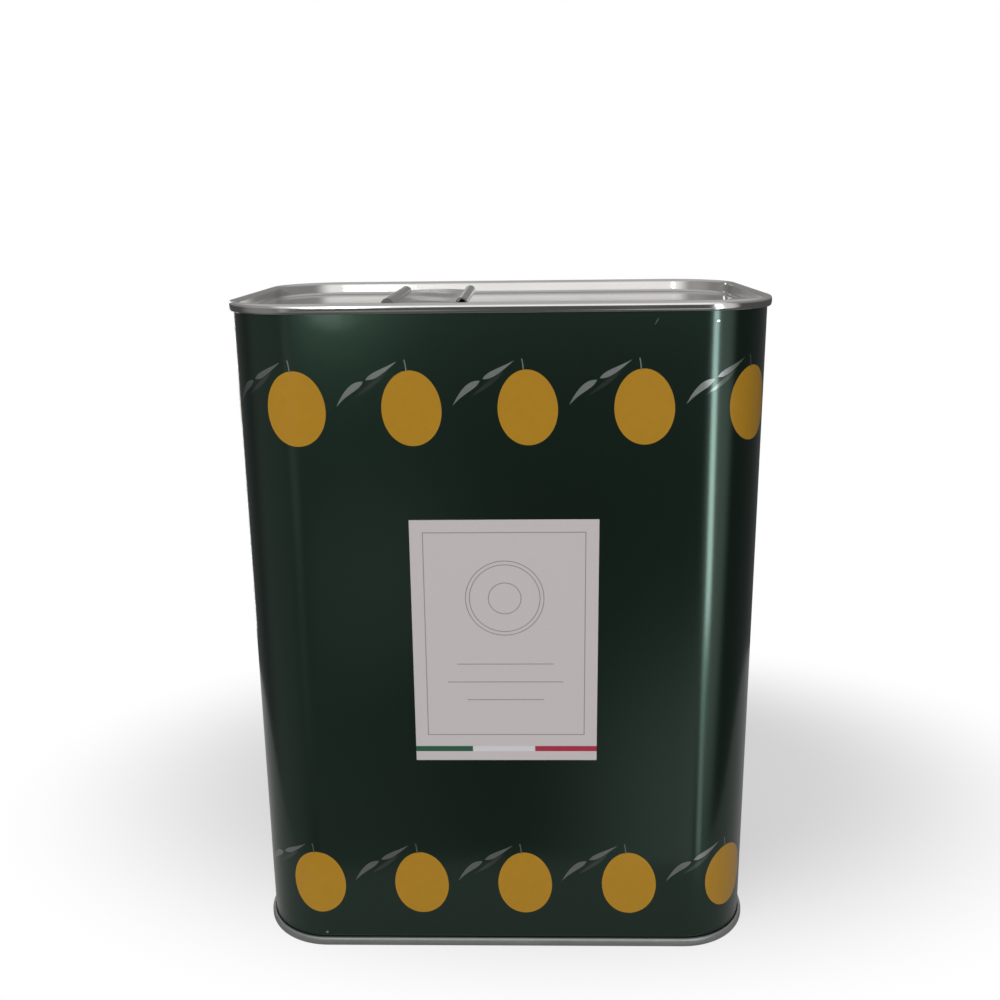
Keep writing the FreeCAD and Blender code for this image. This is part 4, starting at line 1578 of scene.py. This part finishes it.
@dataclass
class Studio:
    """The stage: pale round floor, white surround, soft lamps and the camera.

    Attributes:
        yaw: the camera's turn to the left of straight ahead, in radians.
        pitch: its tilt down, in radians.
        roll: its lean, in radians.
        lens: focal length in millimetres.
        floor_whiteness: how far the floor's middle is white to the camera.
        floor_fade: shares of its reach between which it turns all white.
        zenith: the surround overhead.
        horizon: the surround low in front.
        sides: the surround low at the sides and behind.
        ground: the surround below the horizon.
        rise_span: upward parts of a direction between which the ground gives way to the dome.
        climb_span: upward parts between which the low dome gives way to the zenith.
        side_span: sideways parts between which the front gives way to the sides.
        front_span: backward parts between which the back gives way to the front.
        glows: soft bright places, each of which the front lacquer, the lid or a seam mirrors.
    """

    camera_place: tuple[float, float, float] = (0.0078908, -0.3624820, 0.2367605)
    yaw: float = -0.0248247
    pitch: float = 0.2593035
    roll: float = 0.0117754
    lens: float = 39.097
    sensor: float = 36.0
    nearest: float = 0.01
    floor_radii: tuple[float, float] = (0.25, 0.165)
    floor_centre: tuple[float, float] = (0.018, 0.065)
    floor_drop: float = 0.02 * MM
    floor_colour: str = "#a8a8a8"
    floor_roughness: float = 0.9
    floor_gloss: float = 0.1
    floor_whiteness: float = 0.56
    floor_fade: tuple[float, float] = (0.4, 0.97)
    zenith: str = "#bcbcbc"
    horizon: str = "#c8c8c8"
    sides: str = "#8a8a8a"
    ground: str = "#4d4f4f"
    rise_span: tuple[float, float] = (-0.04, 0.06)
    climb_span: tuple[float, float] = (0.2, 0.7)
    side_span: tuple[float, float] = (0.3, 0.75)
    front_span: tuple[float, float] = (0.1, -0.1)
    glows: tuple[Glow, ...] = (
        Glow(-8.0, -19.0, 6.5, 0.22),
        Glow(-12.0, -32.0, 9.0, 0.1),
        Glow(13.0, -30.0, 11.0, 0.4),
        Glow(40.0, -12.0, 26.0, 0.6),
        Glow(-22.0, -9.0, 11.0, 0.2),
        Glow(-22.0, -22.0, 11.0, 0.1),
        Glow(184.8, 3.5, 2.2, 0.6),
        Glow(-60.0, -15.0, 45.0, 0.15),
    )
    lamps: tuple[Softbox, ...] = (
        Softbox("right_strip", (0.482, -0.787, -0.005), (0.12, 0.42), 6.7, lean=14.0, colour="#f1f2ff"),
        Softbox("right_strip_foot", (0.54, -0.81, -0.55), (0.12, 0.69), 1.05, lean=14.0, colour="#f1f2ff"),
        Softbox("front_window", (-0.262, -1.3, 0.33), (0.09, 0.385), 4.4),
        Softbox("front_shelf", (0.06, -1.3, 0.33), (0.6, 0.12), 0.35),
        Softbox("key", (-0.5, -0.95, 0.9), (1.1, 1.1), 2.45, mirrored=False),
        Softbox("back_strip", (-0.5, 0.8, 0.1), (0.08, 0.7), 2.5),
    )

    def build_camera(self) -> None:
        """Place the camera where the view was taken from."""
        forward = np.array([
            math.sin(self.yaw) * math.cos(self.pitch),
            math.cos(self.yaw) * math.cos(self.pitch), -math.sin(self.pitch)])
        level = np.array([math.cos(self.yaw), -math.sin(self.yaw), 0.0])
        down = np.cross(forward, level)
        right = math.cos(self.roll) * level + math.sin(self.roll) * down
        upward = math.sin(self.roll) * level - math.cos(self.roll) * down
        data = bpy.data.cameras.new("camera")
        data.lens = self.lens
        data.sensor_width = self.sensor
        data.clip_start = self.nearest
        bpy.context.scene.camera = stand("camera", data, (right, upward, -forward), self.camera_place)

    def build_world(self) -> None:
        """Surround the tin with a pale dome over a darker ground, seen as plain white.

        The dome is darker low at the sides and behind. Shiny surfaces mirror it, with white low in
        front, where the white surround would stand.
        """
        world = bpy.data.worlds.new("surround")
        bpy.context.scene.world = world
        world.use_nodes = True
        tree = world.node_tree
        tree.nodes.clear()
        way = add_node(tree, "ShaderNodeTexCoord", {}).outputs["Generated"]
        parts = add_node(tree, "ShaderNodeSeparateXYZ", {"Vector": way}).outputs
        rise = ramp(tree, parts["Z"], self.rise_span)
        climb = ramp(tree, parts["Z"], self.climb_span)
        aside = ramp(tree, maths(tree, "ABSOLUTE", parts["X"]), self.side_span)
        facing = ramp(tree, parts["Y"], self.front_span, curve="LINEAR")
        front = maths(tree, "MULTIPLY", facing, maths(tree, "SUBTRACT", 1.0, aside))
        sky = mix(tree, climb, mix(tree, front, self.sides, self.horizon), self.zenith)
        colour = mix(tree, rise, self.ground, sky)
        for glow in self.glows:
            near = add_node(tree, "ShaderNodeVectorMath", {0: way, 1: glow.way}, operation="DOT_PRODUCT")
            edge = math.cos(math.radians(glow.reach))
            fade = ramp(tree, near.outputs["Value"], (edge, 1.0), (0.0, glow.radiance))
            colour = mix(tree, 1.0, colour, fade, blend_type="ADD")
        path = add_node(tree, "ShaderNodeLightPath", {}).outputs
        low_front = maths(tree, "MULTIPLY", maths(tree, "SUBTRACT", rise, climb), front)
        mirrored = maths(tree, "MULTIPLY", path["Is Glossy Ray"], low_front)
        both = add_node(tree, "ShaderNodeMixShader", {
            0: maths(tree, "MAXIMUM", path["Is Camera Ray"], mirrored),
            1: add_node(tree, "ShaderNodeBackground", {"Color": colour}).outputs["Background"],
            2: add_node(tree, "ShaderNodeBackground", {"Color": (1, 1, 1, 1)}).outputs["Background"]})
        add_node(tree, "ShaderNodeOutputWorld", {"Surface": both.outputs["Shader"]})

    def build_floor(self) -> None:
        """Lay a pale round floor that fades into the white surround at its edge, with a greyer middle that
        is painted shade round the tin.
        """
        # Matt white board.
        material, tree, place = start_material("floor")
        board = add_node(tree, "ShaderNodeBsdfPrincipled", {
            "Base Color": to_linear(self.floor_colour),
            "Roughness": self.floor_roughness,
            "Specular IOR Level": self.floor_gloss})
        # Painted shade: to the camera the floor's middle is greyer and turns white outwards, a soft shade
        # round the tin on top of the real shadows that the board catches.
        reach = reach_share(tree, place, (*self.floor_centre, 0.0), (*self.floor_radii, 1.0))
        fade = ramp(tree, reach, self.floor_fade, (self.floor_whiteness, 1.0))
        path = add_node(tree, "ShaderNodeLightPath", {}).outputs
        both = add_node(tree, "ShaderNodeMixShader", {
            0: maths(tree, "MULTIPLY", fade, path["Is Camera Ray"]),
            1: board.outputs["BSDF"],
            2: add_node(tree, "ShaderNodeEmission", {"Color": (1, 1, 1, 1)}).outputs["Emission"]})
        add_node(tree, "ShaderNodeOutputMaterial", {"Surface": both.outputs["Shader"]})
        radius = np.linspace(0, 1, 9)[:, None]
        turn = np.linspace(0, 2 * np.pi, 96, endpoint=False)[None, :]
        points = np.stack(np.broadcast_arrays(
            self.floor_centre[0] + self.floor_radii[0] * radius * np.cos(turn),
            self.floor_centre[1] + self.floor_radii[1] * radius * np.sin(turn), -self.floor_drop), axis=-1)
        make_piece("floor", [Patch(points, wrap_columns=True)], material)

    def build(self) -> None:
        """Set the view, and build the camera, the surround, the floor and the lamps."""
        bpy.context.scene.view_settings.view_transform = "Standard"
        self.build_camera()
        self.build_world()
        self.build_floor()
        for lamp in self.lamps:
            lamp.build()


def dress_hidden_nodes() -> None:
    """Give the seals and gaskets, which keep their own solids, a finish of their own."""
    finishes = (
        # Rubbery seaming compound.
        (Moulding("sealing_compound", "#b9a98f", 0.7), ("top_seam_compound", "bottom_seam_compound")),
        # Grey nitrile rubber.
        (Moulding("gasket_rubber", "#5c5c5c", 0.65), ("spout_gasket",)),
        # White foamed polyethylene.
        (Moulding("liner_foam", "#ecebe6", 0.75), ("cap_liner",)),
    )
    for finish, nodes in finishes:
        material = finish.build()
        for name in nodes:
            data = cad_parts[name].data
            data.materials.clear()
            data.materials.append(material)


def main() -> None:
    """Build the tin piece by piece, and the stage round it."""
    logging.basicConfig(level=logging.INFO, format="%(name)s %(message)s")
    _, (half_width, half_depth, height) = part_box("top_end")
    label_low, label_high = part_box("front_label")
    corner, spout_hole = 22.9 * MM, 14.4 * MM
    plan = PlanLoop(half_width, half_depth, corner, half_depth + label_high.y)

    Studio().build()
    # Stoved lacquer under varnish.
    lacquer = GreenLacquer().build()
    # Bright tinplate of the lid and the scratches.
    tinplate = Tinplate("tinplate").build()
    # Tinplate of the base, dulled by standing and sliding, and a darker colour than the lid's as painted
    # shade.
    scuffed_shaded_tinplate = Tinplate("scuffed_shaded_tinplate", "#c6c8c6", "#acaeac", roughness=(0.42, 0.58)).build()
    # Tinplate of the handle, dulled by hands.
    strap_tinplate = Tinplate(
        "strap_tinplate", "#dedcd8", "#b2b0ac", roughness=(0.1, 0.24), cloud_mm=9.0).build()

    body = TinBody(plan, height)
    body.build_shell(lacquer)
    body.build_weld(lacquer)
    label = PaperLabel(body, tuple(label_low), tuple(label_high))
    label.build()
    # Grey offset ink on paper.
    label.build_lines(Ink("grey_label_ink", "#9a9595", "#918c8c", roughness=0.55).build())

    olives = OlivePrint(body)
    # Clear silver varnish that lets the sheet shine through.
    silver = Ink(
        "silver_ink", "#a4aaa5", "#8f958f", metallic=1.0, roughness=0.34,
        mottle_mm=0.7, varnish=1.0).build()
    # Opaque yellow offset ink.
    olives.olives(Ink("yellow_ink", "#b6871e", "#ae7f1a", varnish=0.7).build())
    olives.leaves(silver)
    # The same silver under a thin dark tint.
    olives.shades(Ink("shaded_silver_ink", "#727d76", "#646f68", metallic=1.0, roughness=0.19).build())
    olives.stems(silver)
    WearMarks(body).build(tinplate)

    spout_low, spout_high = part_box("spout_collar")
    spout_x, spout_y = (spout_low.x + spout_high.x) / 2, (spout_low.y + spout_high.y) / 2
    lid = PressedEnd(plan, height, End.LID, hole=(spout_x, spout_y, spout_hole))
    panel = height - lid.countersink
    lid.build(tinplate)
    PressedEnd(plan, height, End.BASE).build(scuffed_shaded_tinplate)

    grip_low, grip_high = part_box("handle_grip")
    handle = StrapHandle(tuple(grip_low), tuple(grip_high), panel)
    handle.build_grip(strap_tinplate)
    for end in StrapEnd:
        handle.build_end(end, strap_tinplate)
        handle.build_bridge(end, strap_tinplate)

    spout = PullSpout((spout_x, spout_y, panel))
    # Undyed polyethylene.
    spout.build_tubes(Moulding("natural_polyethylene", "#e4e3da", 0.42, see_through=0.15).build())
    # White polypropylene.
    white = Moulding("white_polypropylene", "#ecece7", 0.34, see_through=0.08).build()
    spout.build_cap(white)
    spout.build_ring(white)
    dress_hidden_nodes()


if __name__ == "__main__":
    main()
